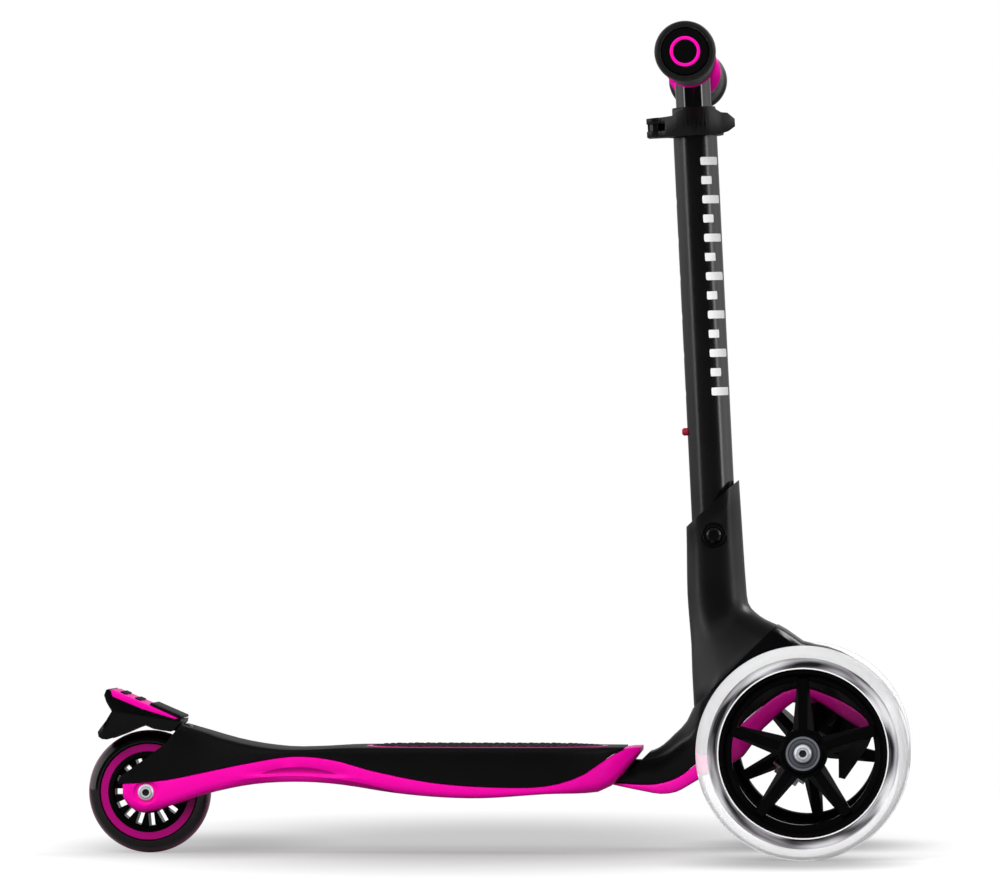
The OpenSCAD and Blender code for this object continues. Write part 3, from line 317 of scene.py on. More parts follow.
def powder_coat(name, shade, rough):
    """Powder-coated steel: satin gloss over a shallow orange peel."""
    material, tree, place = start_material(name)
    finish_material(
        tree, place, {"Base_Color": rgba(shade), "IOR": 1.6}, patches=(50 * MM, *rough),
        grain=[(1.6 * MM, 0.005 * MM)])
    return material


def soft_rubber(name, shade, sheen, ior):
    """Thermoplastic rubber: matt, with a fine pebble grain."""
    # The pebbles are drawn at 0.8 mm, about twice the real size, so that they show.
    material, tree, place = start_material(name)
    finish_material(
        tree, place,
        {"Base_Color": rgba(shade), "IOR": ior, "Sheen_Weight": sheen, "Sheen_Roughness": 0.4},
        patches=(10 * MM, 0.45, 0.58), grain=[(0.8 * MM, 0.05 * MM)])
    return material


def plated_steel(name, shade, rough=(0.18, 0.34)):
    """Plated or polished steel: bright metal, with faint clouds where the plating is thicker."""
    # Marks from grinding, about 0.05 mm wide, are too fine to show, so they are drawn at 0.6 mm.
    material, tree, place = start_material(name)
    finish_material(
        tree, place, {"Base_Color": rgba(shade), "Metallic": 0.55}, patches=(4 * MM, *rough),
        grain=[(0.6 * MM, 0.002 * MM)])
    return material


def ringed_steel(name, tint, centre, radius, metallic, rough, stops):
    """Steel turned about an axle: its tone goes by the share of the radius, as the stops give it."""
    material, tree, place = start_material(name)
    shader = finish_material(tree, place, {"Metallic": metallic}, patches=(3 * MM, *rough))
    reach, _ = around(tree, place, centre)
    share = add(tree, "ShaderNodeMath", {"operation": "DIVIDE"}, i0=reach, i1=radius)
    bands = add(tree, "ShaderNodeValToRGB", {"stops": stops}, Fac=share.outputs[0])
    toned = add(tree, "ShaderNodeMix", TINTED, i0=1.0, i6=bands.outputs["Color"], i7=tint)
    tree.links.new(toned.outputs[2], shader.inputs["Base Color"])
    return material


def turned_head(name, shade, centre):
    """A turned screw head in painted light: lightened, with painted shade in the mouth of its socket and bright
    rings as painted highlights.
    """
    # Painted light: the colour is lightened 1.6 times, the dark stops near the middle are shade painted in the
    # socket, and the stops at 0.44 and 0.76 are painted highlights.
    return ringed_steel(
        name, rgba(shade, 1.6), centre, radius=6 * MM, metallic=0.25, rough=(0.2, 0.3),
        stops=[(0.0, "#1c1c1e"), (0.36, "#2a2a2c"), (0.44, "#f0f1f3"), (0.62, "#9c9ea2"), (0.76, "#f4f5f6"),
               (1.0, "#c4c6ca")])


def shielded_bearing(name, shade, centre):
    """Ball bearing with pressed shields: ground races, and a matt shield between two gaps in painted shade."""
    # Painted shade: the stops at #1a1a1b darken the gaps between the shield and the races.
    return ringed_steel(
        name, rgba(shade, 4), centre, radius=11 * MM, metallic=0.35, rough=(0.3, 0.42),
        stops=[(0.0, "#a2a4a8"), (0.53, "#98999d"), (0.56, "#1a1a1b"), (0.61, "#606165"), (0.78, "#7c7d81"),
               (0.82, "#1a1a1b"), (0.87, "#8b8d91"), (0.94, "#a5a7ab"), (1.0, "#4a4b4d")])


def frosted_cast(name, shade):
    """Clear cast polyurethane: milky, with a weak painted glow for light scattered in it, and it shows what is
    behind it.
    """
    material, tree, place = start_material(name)
    # Painted glow: an emission of 0.12 stands in for light scattered in the tread.
    finish_material(
        tree, place,
        {"Base_Color": rgba(shade), "IOR": 1.04, "Transmission_Weight": 0.62, "Coat_Weight": 0.15,
         "Coat_Roughness": 0.1, "Emission_Color": (1, 1, 1, 1), "Emission_Strength": 0.12},
        patches=(20 * MM, 0.05, 0.1), grain=[(10 * MM, 0.03 * MM)])
    return material


def streaked_cast(name, centre):
    """The tyre's clear wall over its rim: bright and dark streaks painted in its colour, as painted reflections of
    the room's light that it bends.

    The streaks are arcs about a sixth of a turn long, and one follows another every 5 mm of reach.
    """
    wall_inside, wall_outside = 53.8 * MM, 60.6 * MM
    along, outward = 1.7, 0.19 / MM  # noise cells for each radian round the axle, and for each mm outwards
    material, tree, place = start_material(name)
    shader = finish_material(
        tree, place, {"IOR": 1.45, "Coat_Weight": 0.6, "Coat_Roughness": 0.05},
        patches=(20 * MM, 0.1, 0.2))
    reach, way = around(tree, place, centre)
    layer = add(tree, "ShaderNodeMath", TIMES, i0=reach, i1=outward)
    lift = add(tree, "ShaderNodeCombineXYZ", Y=layer.outputs[0])
    bent = add(
        tree, "ShaderNodeVectorMath", {"operation": "MULTIPLY_ADD"}, i0=way, i1=(along, along, along),
        i2=lift.outputs["Vector"])
    arcs = add(
        tree, "ShaderNodeTexNoise", Vector=bent.outputs["Vector"], Scale=1.0, Detail=1.5, Roughness=0.4)
    depth = add(
        tree, "ShaderNodeMapRange", Value=reach, From_Min=wall_inside, From_Max=wall_outside,
        To_Min=-0.05, To_Max=0.06)
    level = add(
        tree, "ShaderNodeMath", {"operation": "ADD"}, i0=arcs.outputs["Fac"], i1=depth.outputs["Result"])
    # Painted reflections: the streaks are set as the base colour.
    streaks = add(
        tree, "ShaderNodeValToRGB",
        {"stops": [(0.37, "#1b1b1e"), (0.45, "#636165"), (0.54, "#a9a6ab"), (0.7, "#ececee")]},
        Fac=level.outputs[0])
    tree.links.new(streaks.outputs["Color"], shader.inputs["Base Color"])
    return material


def smoked_cast(name, shade, glow, centre):
    """Dark cast polyurethane: glossy, with a painted glow of the accent colour at its crown, where the tyre is
    thin.
    """
    crown_inside, crown_outside = 37.7 * MM, 39.6 * MM
    material, tree, place = start_material(name)
    shader = finish_material(
        tree, place,
        {"IOR": 1.49, "Coat_Weight": 0.4, "Coat_Roughness": 0.08, "Sheen_Weight": 0.1,
         "Sheen_Roughness": 0.25, "Sheen_Tint": rgba(glow)},
        patches=(20 * MM, 0.12, 0.22), grain=[(8 * MM, 0.02 * MM)])
    reach, _ = around(tree, place, centre)
    crown = add(
        tree, "ShaderNodeMapRange", SMOOTH, Value=reach, From_Min=crown_inside, From_Max=crown_outside)
    # Painted glow: towards the crown the base colour turns to the accent at 0.3 of its brightness.
    tint = add(
        tree, "ShaderNodeMix", {"data_type": "RGBA"}, i0=crown.outputs["Result"], i6=rgba(shade),
        i7=rgba(glow, 0.3))
    tree.links.new(tint.outputs[2], shader.inputs["Base Color"])
    return material


def printed_ink(name, shade):
    """Pad-printed ink: an opaque matt film."""
    material, tree, place = start_material(name)
    finish_material(tree, place, {"Base_Color": rgba(shade), "IOR": 1.45}, patches=(4 * MM, 0.4, 0.55))
    return material


MATERIALS = {}


def make_materials(colours):
    """Makes every finish once, under the short name that the pieces ask for."""
    # deep is the accent colour at 0.42 of its brightness: a copy in painted shade, for the rear ring.
    deep = tuple(0.42 * part for part in colours.accent)
    front_axle, rear_axle = middle("front_tyre_right"), middle("rear_tyre")
    MATERIALS.update(
        shell_abs=polished_plastic("ABS moulded, satin black", colours.shell, (0.4, 0.48), 1.3),
        black_abs=polished_plastic("ABS moulded, gloss black", colours.black, ior=1.32),
        accent_abs=polished_plastic("ABS moulded, gloss accent", colours.accent, (0.25, 0.32), 1.24),
        # The rear ring's finish: the accent in painted shade.
        ring_abs=polished_plastic("ABS moulded, deep accent", deep, ior=1.3),
        # The tray's finish carries painted shade in the flanks of its waist.
        tray_abs=waisted_plastic("ABS moulded, tray", colours.accent),
        # The trim's finish carries painted shade round the front axle.
        arch_abs=arched_plastic("ABS moulded, trim", colours.accent, front_axle),
        nylon=textured_plastic("Nylon moulded, satin black", colours.black),
        rim_nylon=textured_plastic("Nylon moulded, glossy black", colours.black, (0.14, 0.2), 1.15),
        coat=powder_coat("Steel, powder coated", colours.coat, (0.2, 0.26)),
        gloss_coat=powder_coat("Steel tube, glossy coat", colours.coat, (0.07, 0.1)),
        rubber=soft_rubber("Thermoplastic rubber, pad", colours.rubber, 0.02, 1.25),
        grip=soft_rubber("Thermoplastic rubber, grip", colours.rubber, 0.25, 1.45),
        steel=plated_steel("Steel, ground", colours.steel),
        zinc=plated_steel("Steel, zinc plated", colours.zinc, (0.3, 0.45)),
        front_head=turned_head("Screw head, front", colours.steel, front_axle),
        rear_head=turned_head("Screw head, rear", colours.steel, rear_axle),
        front_bearing=shielded_bearing("Ball bearing, front", colours.bearing, front_axle),
        rear_bearing=shielded_bearing("Ball bearing, rear", colours.bearing, rear_axle),
        tread=frosted_cast("Polyurethane cast, frosted", colours.clear),
        wall=streaked_cast("Polyurethane cast, clear", front_axle),
        smoke=smoked_cast("Polyurethane cast, smoked", colours.smoke, colours.accent, rear_axle),
        button=polished_plastic("ABS moulded, red", colours.button),
        ink=printed_ink("Ink, pad printed", colours.ink),
    )


# ---- work on pieces ------------------------------------------------------------------


def deselect():
    """Leaves nothing selected."""
    if bpy.context.mode != "OBJECT":
        bpy.ops.object.mode_set(mode="OBJECT")
    bpy.ops.object.select_all(action="DESELECT")


def select(piece):
    """Selects only this piece and makes it active."""
    deselect()
    piece.select_set(True)
    bpy.context.view_layer.objects.active = piece


def dress(node, finish):
    """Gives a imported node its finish."""
    NODES[node].material_slots[0].material = MATERIALS[finish]


def edit(piece, mode, everything=False):
    """Opens a piece for shaping, with all or nothing of it selected."""
    select(piece)
    bpy.ops.object.mode_set(mode="EDIT")
    bpy.ops.mesh.select_mode(type=mode)
    bpy.ops.mesh.select_all(action="SELECT" if everything else "DESELECT")


def assign(piece, finish, node):
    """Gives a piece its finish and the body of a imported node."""
    piece.data.materials.clear()
    piece.data.materials.append(MATERIALS[finish])
    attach(piece, BODY[node])


def finish_piece(piece, name, finish, node, smooth=SMOOTH_BELOW):
    """Names a shaped piece, puts its place in its mesh, and gives it its finish and its body."""
    select(piece)
    bpy.ops.object.transform_apply(location=True, rotation=True, scale=True)
    bpy.ops.object.shade_smooth_by_angle(angle=math.radians(smooth))
    piece.name = piece.data.name = name
    assign(piece, finish, node)
    return piece


def spun_ring(outline, centre, steps):
    """A ring about an axle that runs across: its outline of (radius, place across) is drawn and spun."""
    deselect()
    bpy.ops.mesh.primitive_plane_add(size=MM, location=(0, 0, 0))
    piece = bpy.context.object
    edit(piece, "VERT", everything=True)
    bpy.ops.mesh.merge(type="CENTER")
    points = [Vector((centre[0], centre[1] + across, centre[2] + reach)) for reach, across in outline]
    bpy.ops.transform.translate(value=points[0])
    for start, end in zip(points, points[1:] + points[:1]):
        bpy.ops.mesh.extrude_region_move(TRANSFORM_OT_translate={"value": end - start})
    bpy.ops.mesh.select_all(action="SELECT")
    bpy.ops.mesh.remove_doubles(threshold=MERGE_BELOW)
    bpy.ops.mesh.spin(steps=steps, angle=math.tau, center=centre, axis=(0, 1, 0))
    bpy.ops.mesh.select_all(action="SELECT")
    bpy.ops.mesh.remove_doubles(threshold=MERGE_BELOW)
    bpy.ops.mesh.normals_make_consistent(inside=False)
    bpy.ops.object.mode_set(mode="OBJECT")
    return piece


def arc(centre, radius, start, end, steps):
    """Points of an arc in an outline, from one angle to another in degrees."""
    angles = [math.radians(start + (end - start) * i / steps) for i in range(steps + 1)]
    return [(centre[0] + radius * math.cos(a), centre[1] + radius * math.sin(a)) for a in angles]


def mirrored(outline):
    """The other half of an outline that is the same on both sides, from its end back to its start."""
    return [(reach, -across) for reach, across in reversed(outline)]


def smooth_copy(node, name, finish, bevel=0.0):
    """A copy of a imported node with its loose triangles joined, its shading smooth and its edges eased."""
    piece = bpy.data.objects.new(name, NODES[node].data.copy())
    bpy.context.scene.collection.objects.link(piece)
    select(piece)
    bpy.ops.object.mode_set(mode="EDIT")
    bpy.ops.mesh.select_all(action="SELECT")
    bpy.ops.mesh.customdata_custom_splitnormals_clear()
    bpy.ops.mesh.remove_doubles(threshold=MERGE_BELOW)
    bpy.ops.mesh.dissolve_limited(angle_limit=math.radians(FLAT_BELOW))
    bpy.ops.object.mode_set(mode="OBJECT")
    if bevel:
        ease = piece.modifiers.new("Ease", "BEVEL")
        ease.width = bevel
        ease.segments = 2
        ease.limit_method = "ANGLE"
        ease.angle_limit = math.radians(EASED_ABOVE)
        bpy.ops.object.modifier_apply(modifier=ease.name)
    bpy.ops.object.shade_smooth_by_angle(angle=math.radians(SMOOTH_BELOW))
    assign(piece, finish, node)
    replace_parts(piece, node)
    return piece


def joined(pieces):
    """Several pieces joined as one, under the name of the first."""
    deselect()
    for piece in pieces:
        piece.select_set(True)
    bpy.context.view_layer.objects.active = pieces[0]
    bpy.ops.object.join()
    return pieces[0]


def repeated(piece, places):
    """Copies of a piece that sits at the origin, one at each place, as one piece."""
    copies = []
    for place in places:
        copy = bpy.data.objects.new(piece.name, piece.data.copy())
        bpy.context.scene.collection.objects.link(copy)
        copy.location = place
        copies.append(copy)
    bpy.data.objects.remove(piece)
    return joined(copies)


# ---- operators, each with its pieces -------------------------------------------------


class Build:
    """What the operators share."""

    bl_options = {"REGISTER", "UNDO"}


class SCOOTER_OT_finishes(Build, bpy.types.Operator):
    """Makes the materials of the scooter"""

    bl_idname = "scooter.finishes"
    bl_label = "Finishes"

    def execute(self, context):
        make_materials(context.scene.scooter_colours)
        return {"FINISHED"}


class SCOOTER_OT_deck(Build, bpy.types.Operator):
    """Finishes the deck, its tray, its pad and its screws"""

    bl_idname = "scooter.deck"
    bl_label = "Deck"

    def execute(self, context):
        smooth_copy("deck_shell", "deck_shell_skin", "shell_abs", bevel=0.6 * MM)
        smooth_copy("deck_tray", "deck_tray_skin", "tray_abs", bevel=0.3 * MM)
        dress("deck_pad", "rubber")
        self.studs(context.scene.scooter_sizes.stud_pitch)
        dress("deck_inlay", "accent_abs")
        dress("tray_screws", "zinc")
        return {"FINISHED"}

    def studs(self, pitch):
        """Low round studs in staggered rows, wherever a whole one fits on the pad."""
        low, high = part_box("deck_pad")
        pad = NODES["deck_pad"]
        row_pitch, stud_r, stud_h = 0.87 * pitch, 0.28 * pitch, 0.5 * MM
        deselect()
        bpy.ops.mesh.primitive_cone_add(
            vertices=12, radius1=stud_r, radius2=0.7 * stud_r, depth=stud_h, end_fill_type="NOTHING",
            location=(0, 0, 0))
        stud = bpy.context.object
        edit(stud, "EDGE")
        bpy.ops.object.mode_set(mode="OBJECT")
        for edge in stud.data.edges:
            edge.select = all(stud.data.vertices[i].co.z > 0 for i in edge.vertices)
        bpy.ops.object.mode_set(mode="EDIT")
        bpy.ops.mesh.edge_face_add()
        bpy.ops.mesh.inset(thickness=0.3 * stud_r, depth=0.1 * MM)
        bpy.ops.object.mode_set(mode="OBJECT")
        turns = [math.tau * k / 5 for k in range(5)]
        places = []
        rows = int((high[1] - low[1]) / row_pitch) + 1
        columns = int((high[0] - low[0]) / pitch) + 2
        for row in range(rows):
            for column in range(columns):
                x = low[0] + (column + 0.5 * (row % 2)) * pitch
                y = (row - (rows - 1) / 2) * row_pitch
                rim = [(x + 1.3 * stud_r * math.cos(a), y + 1.3 * stud_r * math.sin(a)) for a in turns]
                hits = [pad.ray_cast((u, v, high[2] + 10 * MM), (0, 0, -1)) for u, v in rim]
                if all(hit[0] and hit[1].z > high[2] - MM for hit in hits):
                    places.append((x, y, sum(hit[1].z for hit in hits) / len(hits) + 0.4 * stud_h))
        finish_piece(repeated(stud, places), "pad_studs", "rubber", "deck_pad")


class SCOOTER_OT_neck(Build, bpy.types.Operator):
    """Finishes the neck, the crown and their trim"""

    bl_idname = "scooter.neck"
    bl_label = "Neck"

    def execute(self, context):
        smooth_copy("neck", "neck_skin", "black_abs", bevel=0.4 * MM)
        smooth_copy("neck_trim", "neck_trim_skin", "arch_abs", bevel=0.3 * MM)
        for node in ("neck_bolts", "crown_screws"):
            dress(node, "zinc")
        return {"FINISHED"}


class SCOOTER_OT_column(Build, bpy.types.Operator):
    """Finishes the column's base and its tubes"""

    bl_idname = "scooter.column"
    bl_label = "Column"

    def execute(self, context):
        smooth_copy("column_base", "column_base_skin", "nylon", bevel=0.4 * MM)
        dress("lower_tube", "coat")
        for node in ("upper_tube", "crossbar", "column_bolt", "column_nut"):
            dress(node, "gloss_coat")
        dress("tube_bush", "nylon")
        dress("snap_button", "button")
        leaf = smooth_copy("snap_spring", "snap_spring_leaf", "steel")
        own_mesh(leaf)
        self.bolt_lips()
        self.height_scale(context.scene.scooter_sizes)
        return {"FINISHED"}

    def bolt_lips(self):
        """The raised lip round the mouth of each recess of the cross bolt."""
        outline = ((6.5, 16.8), (6.5, 18.6), (6.8, 19.0), (7.3, 19.2), (7.9, 19.0), (8.4, 18.5),
                   (8.7, 17.2), (8.7, 16.8))
        centre = middle("column_bolt")
        centre.y = 0
        for name, sign in SIDES:
            lip = spun_ring([(reach * MM, sign * across * MM) for reach, across in outline], centre, 48)
            finish_piece(lip, f"bolt_lip_{name}", "rim_nylon", "column_base")

    def height_scale(self, sizes):
        """White bars up the lower tube, a long one at each whole setting and a short one between."""
        axis = AXIS["height_slide"]
        tube = middle("lower_tube")
        low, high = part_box("lower_tube")
        radius = (high[1] - low[1]) / 2
        start, count, first_turn = 12 * MM, 13, math.radians(12)
        long_arc, short_arc = math.radians(58), math.radians(30)
        lift, film = 0.03 * MM, 0.08 * MM
        bars = []
        for k in range(count):
            reach = (short_arc if k % 2 else long_arc) * radius
            deselect()
            bpy.ops.mesh.primitive_grid_add(x_subdivisions=16, y_subdivisions=4, size=1, location=(0, 0, 0))
            bar = bpy.context.object
            bar.scale = (reach, sizes.scale_bar, 1)
            bpy.ops.object.transform_apply(scale=True)
            edit(bar, "VERT")
            bpy.ops.object.mode_set(mode="OBJECT")
            corner_x, corner_y = 0.499 * reach, 0.499 * sizes.scale_bar
            for point in bar.data.vertices:
                point.select = abs(point.co.x) > corner_x and abs(point.co.y) > corner_y
            bpy.ops.object.mode_set(mode="EDIT")
            bpy.ops.mesh.bevel(offset=0.3 * sizes.scale_bar, affect="VERTICES", segments=3)
            bpy.ops.object.mode_set(mode="OBJECT")
            for point in bar.data.vertices:
                turn = first_turn + (point.co.x + reach / 2) / radius
                rise = axis * (start + k * sizes.scale_pitch + point.co.y)
                out = Vector((axis.z * math.sin(turn), -math.cos(turn), -axis.x * math.sin(turn)))
                point.co = tube + rise + out * (radius + lift)
            bars.append(bar)
        scale = joined(bars)
        wall = scale.modifiers.new("Film", "SOLIDIFY")
        wall.thickness = film
        wall.offset = 1
        select(scale)
        bpy.ops.object.modifier_apply(modifier=wall.name)
        finish_piece(scale, "height_scale", "ink", "lower_tube")


class SCOOTER_OT_clamp(Build, bpy.types.Operator):
    """Finishes the quick-release clamp"""

    bl_idname = "scooter.clamp"
    bl_label = "Clamp"

    def execute(self, context):
        smooth_copy("clamp_collar", "clamp_collar_skin", "nylon", bevel=0.8 * MM)
        smooth_copy("clamp_lever", "clamp_lever_skin", "nylon", bevel=2.2 * MM)
        for node in ("clamp_bolt", "clamp_nut", "lever_pin"):
            dress(node, "coat")
        return {"FINISHED"}


class SCOOTER_OT_handlebar(Build, bpy.types.Operator):
    """Finishes the grips, their collars and their caps"""

    bl_idname = "scooter.handlebar"
    bl_label = "Handlebar"

    def execute(self, context):
        for side, sign in SIDES:
            dress(f"grip_{side}", "grip")
            self.collar(side, sign)
            dress(f"grip_cap_{side}", "black_abs")
        for side, sign in SIDES:
            self.cap_ring(side, sign, context.scene.scooter_sizes.ring_radius)
        return {"FINISHED"}

    def collar(self, side, sign):
        """The bright collar at a grip's inner end, with one round over its whole width."""
        node = f"grip_collar_{side}"
        low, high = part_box(node)
        centre = middle(node)
        radius, half = (high[2] - low[2]) / 2, (high[1] - low[1]) / 2
        bar_low, bar_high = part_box("crossbar")
        bore = (bar_high[2] - bar_low[2]) / 2 + 0.1 * MM
        outline = [(bore, half), (bore, -half)] + arc((radius - 2 * half, half), 2 * half, -90, 0, 8)
        ring = spun_ring([(reach, sign * across) for reach, across in outline], centre, 64)
        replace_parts(finish_piece(ring, f"collar_{side}", "accent_abs", node), node)

    def cap_ring(self, side, sign, radius):
        """A plain bright ring that stands a little proud of a cap's face."""
        node = f"grip_cap_{side}"
        low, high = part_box(node)
        centre = middle(node)
        centre.y = low[1] if sign < 0 else high[1]
        half, proud = MM, 0.3 * MM
        outline = [(radius - half, -proud), (radius - half, 0.6 * proud), (radius - 0.7 * half, proud),
                   (radius + 0.7 * half, proud), (radius + half, 0.6 * proud), (radius + half, -proud)]
        ring = spun_ring([(reach, sign * across) for reach, across in outline], centre, 64)
        finish_piece(ring, f"cap_ring_{side}", "accent_abs", node)


class SCOOTER_OT_brake(Build, bpy.types.Operator):
    """Finishes the step brake"""

    bl_idname = "scooter.brake"
    bl_label = "Brake"

    def execute(self, context):
        smooth_copy("brake_arm", "brake_arm_skin", "black_abs", bevel=0.6 * MM)
        smooth_copy("brake_cover", "brake_cover_skin", "accent_abs", bevel=0.5 * MM)
        smooth_copy("brake_cap", "brake_cap_skin", "rubber", bevel=0.4 * MM)
        smooth_copy("brake_studs", "brake_studs_skin", "rubber", bevel=0.4 * MM)
        for node in ("brake_pin", "brake_spring"):
            dress(node, "steel")
        return {"FINISHED"}


class SCOOTER_OT_rear_wheel(Build, bpy.types.Operator):
    """Finishes the rear wheel and its axle"""

    bl_idname = "scooter.rear_wheel"
    bl_label = "Rear wheel"

    def execute(self, context):
        dress("rear_tyre", "smoke")
        dress("rear_ring", "ring_abs")
        dress("rear_core", "rim_nylon")
        dress("rear_bearings", "rear_bearing")
        for node in ("rear_axle", "rear_axle_screw"):
            dress(node, "rear_head")
        for node in ("rear_washers", "rear_spacer"):
            dress(node, "zinc")
        return {"FINISHED"}


class SCOOTER_OT_front_wheels(Build, bpy.types.Operator):
    """Finishes the front wheels"""

    bl_idname = "scooter.front_wheels"
    bl_label = "Front wheels"

    def execute(self, context):
        for side, _ in SIDES:
            self.tyre(side, context.scene.scooter_sizes.tread)
            dress(f"front_core_{side}", "rim_nylon")
            dress(f"front_bearings_{side}", "front_bearing")
            dress(f"front_spacer_{side}", "zinc")
        return {"FINISHED"}

    def tyre(self, side, tread):
        """A tyre in rings: the frosted tread, the clear wall, and a thin white ring at the rim of each face as a
        painted highlight.
        """
        node = f"front_tyre_{side}"
        low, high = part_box(node)
        centre = middle(node)
        radius, half = (high[2] - low[2]) / 2, (high[1] - low[1]) / 2
        core_low, core_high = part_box(f"front_core_{side}")
        rim = (core_high[2] - core_low[2]) / 2
        shoulder, foot = 7.2 * MM, radius - tread
        outline = [(foot, half)] + arc((radius - shoulder, half - shoulder), shoulder, 90, 0, 6)
        crown = spun_ring(outline + mirrored(outline), centre, 128)
        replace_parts(finish_piece(crown, f"front_tread_{side}", "tread", node), node)
        face = [(rim, half - 0.6 * MM), (rim + 1.8 * MM, half - 0.2 * MM),
                (0.5 * (rim + foot), half - 1.1 * MM), (foot - 0.6 * MM, half - 0.7 * MM),
                (foot, half - 0.1 * MM)]
        wall = spun_ring(face + mirrored(face), centre, 128)
        finish_piece(wall, f"front_wall_{side}", "wall", node, smooth=40)
        # Painted highlight: a thin white ring at the rim of each face, in the ink finish.
        edge, sunk = half - 0.1 * MM, half - 1.3 * MM
        line = ((rim - 0.2 * MM, sunk), (rim - 0.1 * MM, edge), (rim + 0.6 * MM, edge),
                (rim + 0.8 * MM, sunk))
        for name, sign in (("outer", -1), ("inner", 1)):
            ring = spun_ring([(reach, sign * across) for reach, across in line], centre, 96)
            finish_piece(ring, f"front_rim_line_{side}_{name}", "ink", node)


class SCOOTER_OT_truck(Build, bpy.types.Operator):
    """Finishes the front axle's beam and its pivot"""

    bl_idname = "scooter.truck"
    bl_label = "Truck"

    def execute(self, context):
        dress("truck_beam", "coat")
        dress("front_axle_bolts", "front_head")
        dress("kingpin", "steel")
        dress("front_washers", "zinc")
        dress("steering_bushes", "rubber")
        cushions = smooth_copy("centering_springs", "centering_cushions", "rubber", bevel=0.6 * MM)
        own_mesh(cushions)
        return {"FINISHED"}


# Soft round shadows painted on the floor, under the deck, the two front wheels and the rear wheel. In metres:
# middle along X and Y, and reach along X and Y. The last value is the depth of tone.
FLOOR_SHADES = (
    (-0.02, 0.18, 0.36, 0.8, 0.46),
    (0.2, -0.15, 0.1, 0.18, 0.45),
    (0.2, 0.15, 0.1, 0.18, 0.45),
    (-0.21, 0.12, 0.11, 0.32, 0.3),
)


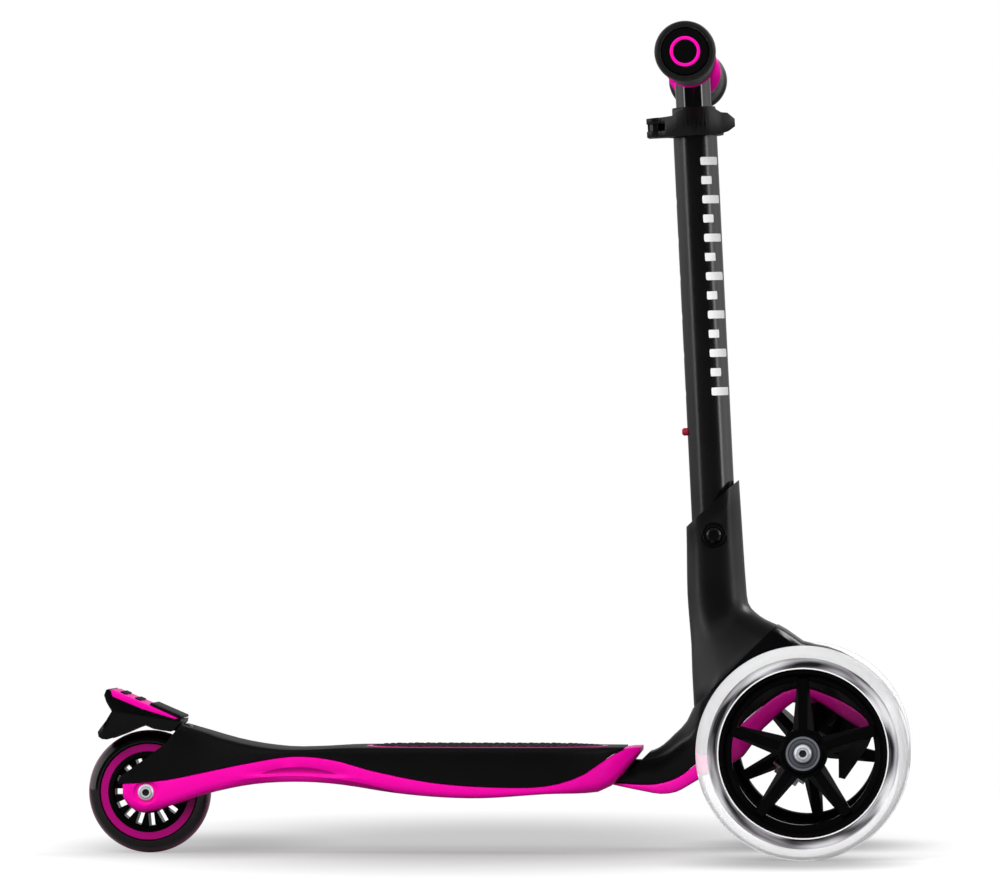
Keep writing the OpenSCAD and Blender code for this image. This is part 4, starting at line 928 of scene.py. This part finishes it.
class SCOOTER_OT_stage(Build, bpy.types.Operator):
    """Makes the floor, the studio light and the camera"""

    bl_idname = "scooter.stage"
    bl_label = "Stage"

    def execute(self, context):
        self.floor()
        self.room(context, context.scene.scooter_studio)
        self.lamps(context, context.scene.scooter_studio)
        self.camera(context)
        context.scene.view_settings.view_transform = "Standard"
        return {"FINISHED"}

    def floor(self):
        """A pale floor that fades into the white of the room, with soft painted shadows where the scooter stands.

        Its paint takes the lamps' shadows, and its own glow lifts it to the tone of a pale table.
        """
        paint_level, glow_level, dim_level = 0.34, 0.74, 0.26
        fade_starts, fade_ends = 0.8, 1.5
        full_at = 0.8  # share of the way from a shade's border to its middle
        deselect()
        bpy.ops.mesh.primitive_grid_add(x_subdivisions=1, y_subdivisions=1, size=60, location=(0, 0, 0))
        floor = bpy.context.object
        floor.name = "studio_floor"
        material, tree, place = start_material("Studio floor, painted")
        # Painted shadows: each spot darkens both the paint and the glow of the floor.
        shade = None
        for x, y, wide, deep, level in FLOOR_SHADES:
            local = add(
                tree, "ShaderNodeMapping", Vector=place, Location=(-x / wide, -y / deep, 0),
                Scale=(1 / wide, 1 / deep, 0))
            spot = add(
                tree, "ShaderNodeTexGradient", {"gradient_type": "SPHERICAL"},
                Vector=local.outputs["Vector"])
            left = add(
                tree, "ShaderNodeMapRange", SMOOTH, Value=spot.outputs["Fac"], From_Max=full_at,
                To_Min=1.0, To_Max=1 - level)
            shade = left.outputs[0] if shade is None else add(
                tree, "ShaderNodeMath", TIMES, i0=shade, i1=left.outputs[0]).outputs[0]
        coat = add(tree, "ShaderNodeMath", TIMES, i0=shade, i1=paint_level)
        paint = add(tree, "ShaderNodeBsdfDiffuse")
        tree.links.new(coat.outputs[0], paint.inputs["Color"])
        glow = add(tree, "ShaderNodeMath", TIMES, i0=shade, i1=glow_level)
        lift = add(tree, "ShaderNodeEmission", Color=(1, 1, 1, 1), Strength=glow.outputs[0])
        near = add(tree, "ShaderNodeAddShader", i0=paint.outputs[0], i1=lift.outputs[0])
        white = add(tree, "ShaderNodeEmission", Color=(1, 1, 1, 1), Strength=1.0)
        distance = add(tree, "ShaderNodeVectorMath", {"operation": "LENGTH"}, i0=place)
        fade = add(
            tree, "ShaderNodeMapRange", SMOOTH, Value=distance.outputs["Value"], From_Min=fade_starts,
            From_Max=fade_ends)
        seen = add(
            tree, "ShaderNodeMixShader", Fac=fade.outputs["Result"], i1=near.outputs[0],
            i2=white.outputs[0])
        dim = add(tree, "ShaderNodeBsdfDiffuse", Color=rgba((dim_level,) * 3))
        shown = add(
            tree, "ShaderNodeMixShader", Fac=self.open_ray(tree), i1=dim.outputs[0], i2=seen.outputs[0])
        add(tree, "ShaderNodeOutputMaterial", Surface=shown.outputs[0])
        floor.data.materials.append(material)

    def open_ray(self, tree):
        """1 for what the camera sees, straight or through the clear tyres."""
        path = add(tree, "ShaderNodeLightPath")
        return add(
            tree, "ShaderNodeMath", {"operation": "MAXIMUM"}, i0=path.outputs["Is Camera Ray"],
            i1=path.outputs["Is Transmission Ray"]).outputs[0]

    def room(self, context, studio):
        """A white room, even where it lights and white where it is seen.

        What gloss mirrors is the product of five factors along its directions.
        """
        world = bpy.data.worlds.new("Studio")
        context.scene.world = world
        world.use_nodes = True
        tree = world.node_tree
        tree.nodes.clear()
        path = add(tree, "ShaderNodeLightPath")
        way = add(tree, "ShaderNodeTexCoord")
        axes = add(tree, "ShaderNodeSeparateXYZ", Vector=way.outputs["Generated"])
        tilt = add(tree, "ShaderNodeMath", {"operation": "ABSOLUTE"}, i0=axes.outputs["Z"])
        right, away, steep = axes.outputs["X"], axes.outputs["Y"], tilt.outputs[0]
        level = None
        for source, blend, low, high, low_level, high_level in (
                (away, "SMOOTHSTEP", -0.56, -0.48, 0.004, 0.7),  # dark on the camera's side
                (away, "SMOOTHSTEP", -0.46, -0.36, 5.0, 1.0),  # bright strip at its border
                (away, "SMOOTHSTEP", 0.1, 0.8, 1.0, 0.35),  # dimmer far behind
                (right, "LINEAR", -0.5, 0.7, 1.7, 2.05),  # a little brighter to the right
                (steep, "SMOOTHSTEP", 0.3, 0.8, 1.0, 0.14)):  # dim overhead and underfoot
            factor = add(
                tree, "ShaderNodeMapRange", {"interpolation_type": blend}, Value=source, From_Min=low,
                From_Max=high, To_Min=low_level, To_Max=high_level).outputs["Result"]
            level = factor if level is None else add(
                tree, "ShaderNodeMath", TIMES, i0=level, i1=factor).outputs[0]
        even = add(tree, "ShaderNodeBackground", Color=(1, 1, 1, 1), Strength=studio.ambient)
        mirror = add(tree, "ShaderNodeBackground", Color=(1, 1, 1, 1), Strength=level)
        white = add(tree, "ShaderNodeBackground", Color=(1, 1, 1, 1), Strength=1.0)
        gloss = add(
            tree, "ShaderNodeMixShader", Fac=path.outputs["Is Glossy Ray"], i1=even.outputs[0],
            i2=mirror.outputs[0])
        sky = add(
            tree, "ShaderNodeMixShader", Fac=self.open_ray(tree), i1=gloss.outputs[0],
            i2=white.outputs[0])
        add(tree, "ShaderNodeOutputWorld", Surface=sky.outputs[0])

    def lamps(self, context, studio):
        """A large lamp in front that gloss doesn't show, and one behind the scooter that it does."""
        aim = Vector((0.05, 0, 0.2))
        for name, power, size, place, in_gloss in (
                ("studio_key", studio.key, 1.6, (-0.5, -1.6, 1.3), False),
                ("studio_rim", studio.rim, 0.9, (1.5, 1.1, 1.8), True)):
            lamp = bpy.data.lights.new(name, "AREA")
            lamp.energy = power
            lamp.size = size
            holder = bpy.data.objects.new(name, lamp)
            context.scene.collection.objects.link(holder)
            holder.location = place
            holder.rotation_euler = (aim - holder.location).to_track_quat("-Z", "Y").to_euler()
            holder.visible_glossy = in_gloss

    def camera(self, context):
        """A long lens from the side, a little above the deck."""
        sensor, lens = 36, 266.8
        place = (0.269775, -4.825, 0.1884)
        level, heading = math.radians(90.931), math.radians(3.191)
        camera = bpy.data.cameras.new("Camera")
        camera.sensor_width = sensor
        camera.lens = lens
        camera.clip_end = 100
        eye = bpy.data.objects.new("Camera", camera)
        context.scene.collection.objects.link(eye)
        eye.location = place
        eye.rotation_euler = (level, 0, heading)
        context.scene.camera = eye


# ---- the add-on's list, panel and registration ---------------------------------------

OPERATORS = (
    SCOOTER_OT_finishes, SCOOTER_OT_deck, SCOOTER_OT_neck, SCOOTER_OT_column, SCOOTER_OT_clamp,
    SCOOTER_OT_handlebar, SCOOTER_OT_brake, SCOOTER_OT_rear_wheel, SCOOTER_OT_front_wheels,
    SCOOTER_OT_truck, SCOOTER_OT_stage,
)


class VIEW3D_PT_scooter(bpy.types.Panel):
    """Lists the pieces of the scooter and their sizes"""

    bl_idname = "VIEW3D_PT_scooter"
    bl_label = "Kick scooter"
    bl_space_type = "VIEW_3D"
    bl_region_type = "UI"
    bl_category = "Scooter"

    def draw(self, context):
        for name in GROUPS:
            group = getattr(context.scene, name)
            box = self.layout.box()
            for key in group.__annotations__:
                box.prop(group, key)
        for operator in OPERATORS:
            self.layout.operator(operator.bl_idname)


def register():
    """Registers the property groups, the operators and the panel."""
    for name, group in GROUPS.items():
        bpy.utils.register_class(group)
        setattr(bpy.types.Scene, name, bpy.props.PointerProperty(type=group))
    for item in (*OPERATORS, VIEW3D_PT_scooter):
        bpy.utils.register_class(item)


def unregister():
    """Removes what register added."""
    for item in (VIEW3D_PT_scooter, *reversed(OPERATORS)):
        bpy.utils.unregister_class(item)
    for name, group in reversed(GROUPS.items()):
        delattr(bpy.types.Scene, name)
        bpy.utils.unregister_class(group)


def main():
    """Builds the scooter and the studio."""
    register()
    for operator in OPERATORS:
        space, name = operator.bl_idname.split(".")
        getattr(getattr(bpy.ops, space), name)()


if __name__ == "__main__":
    main()
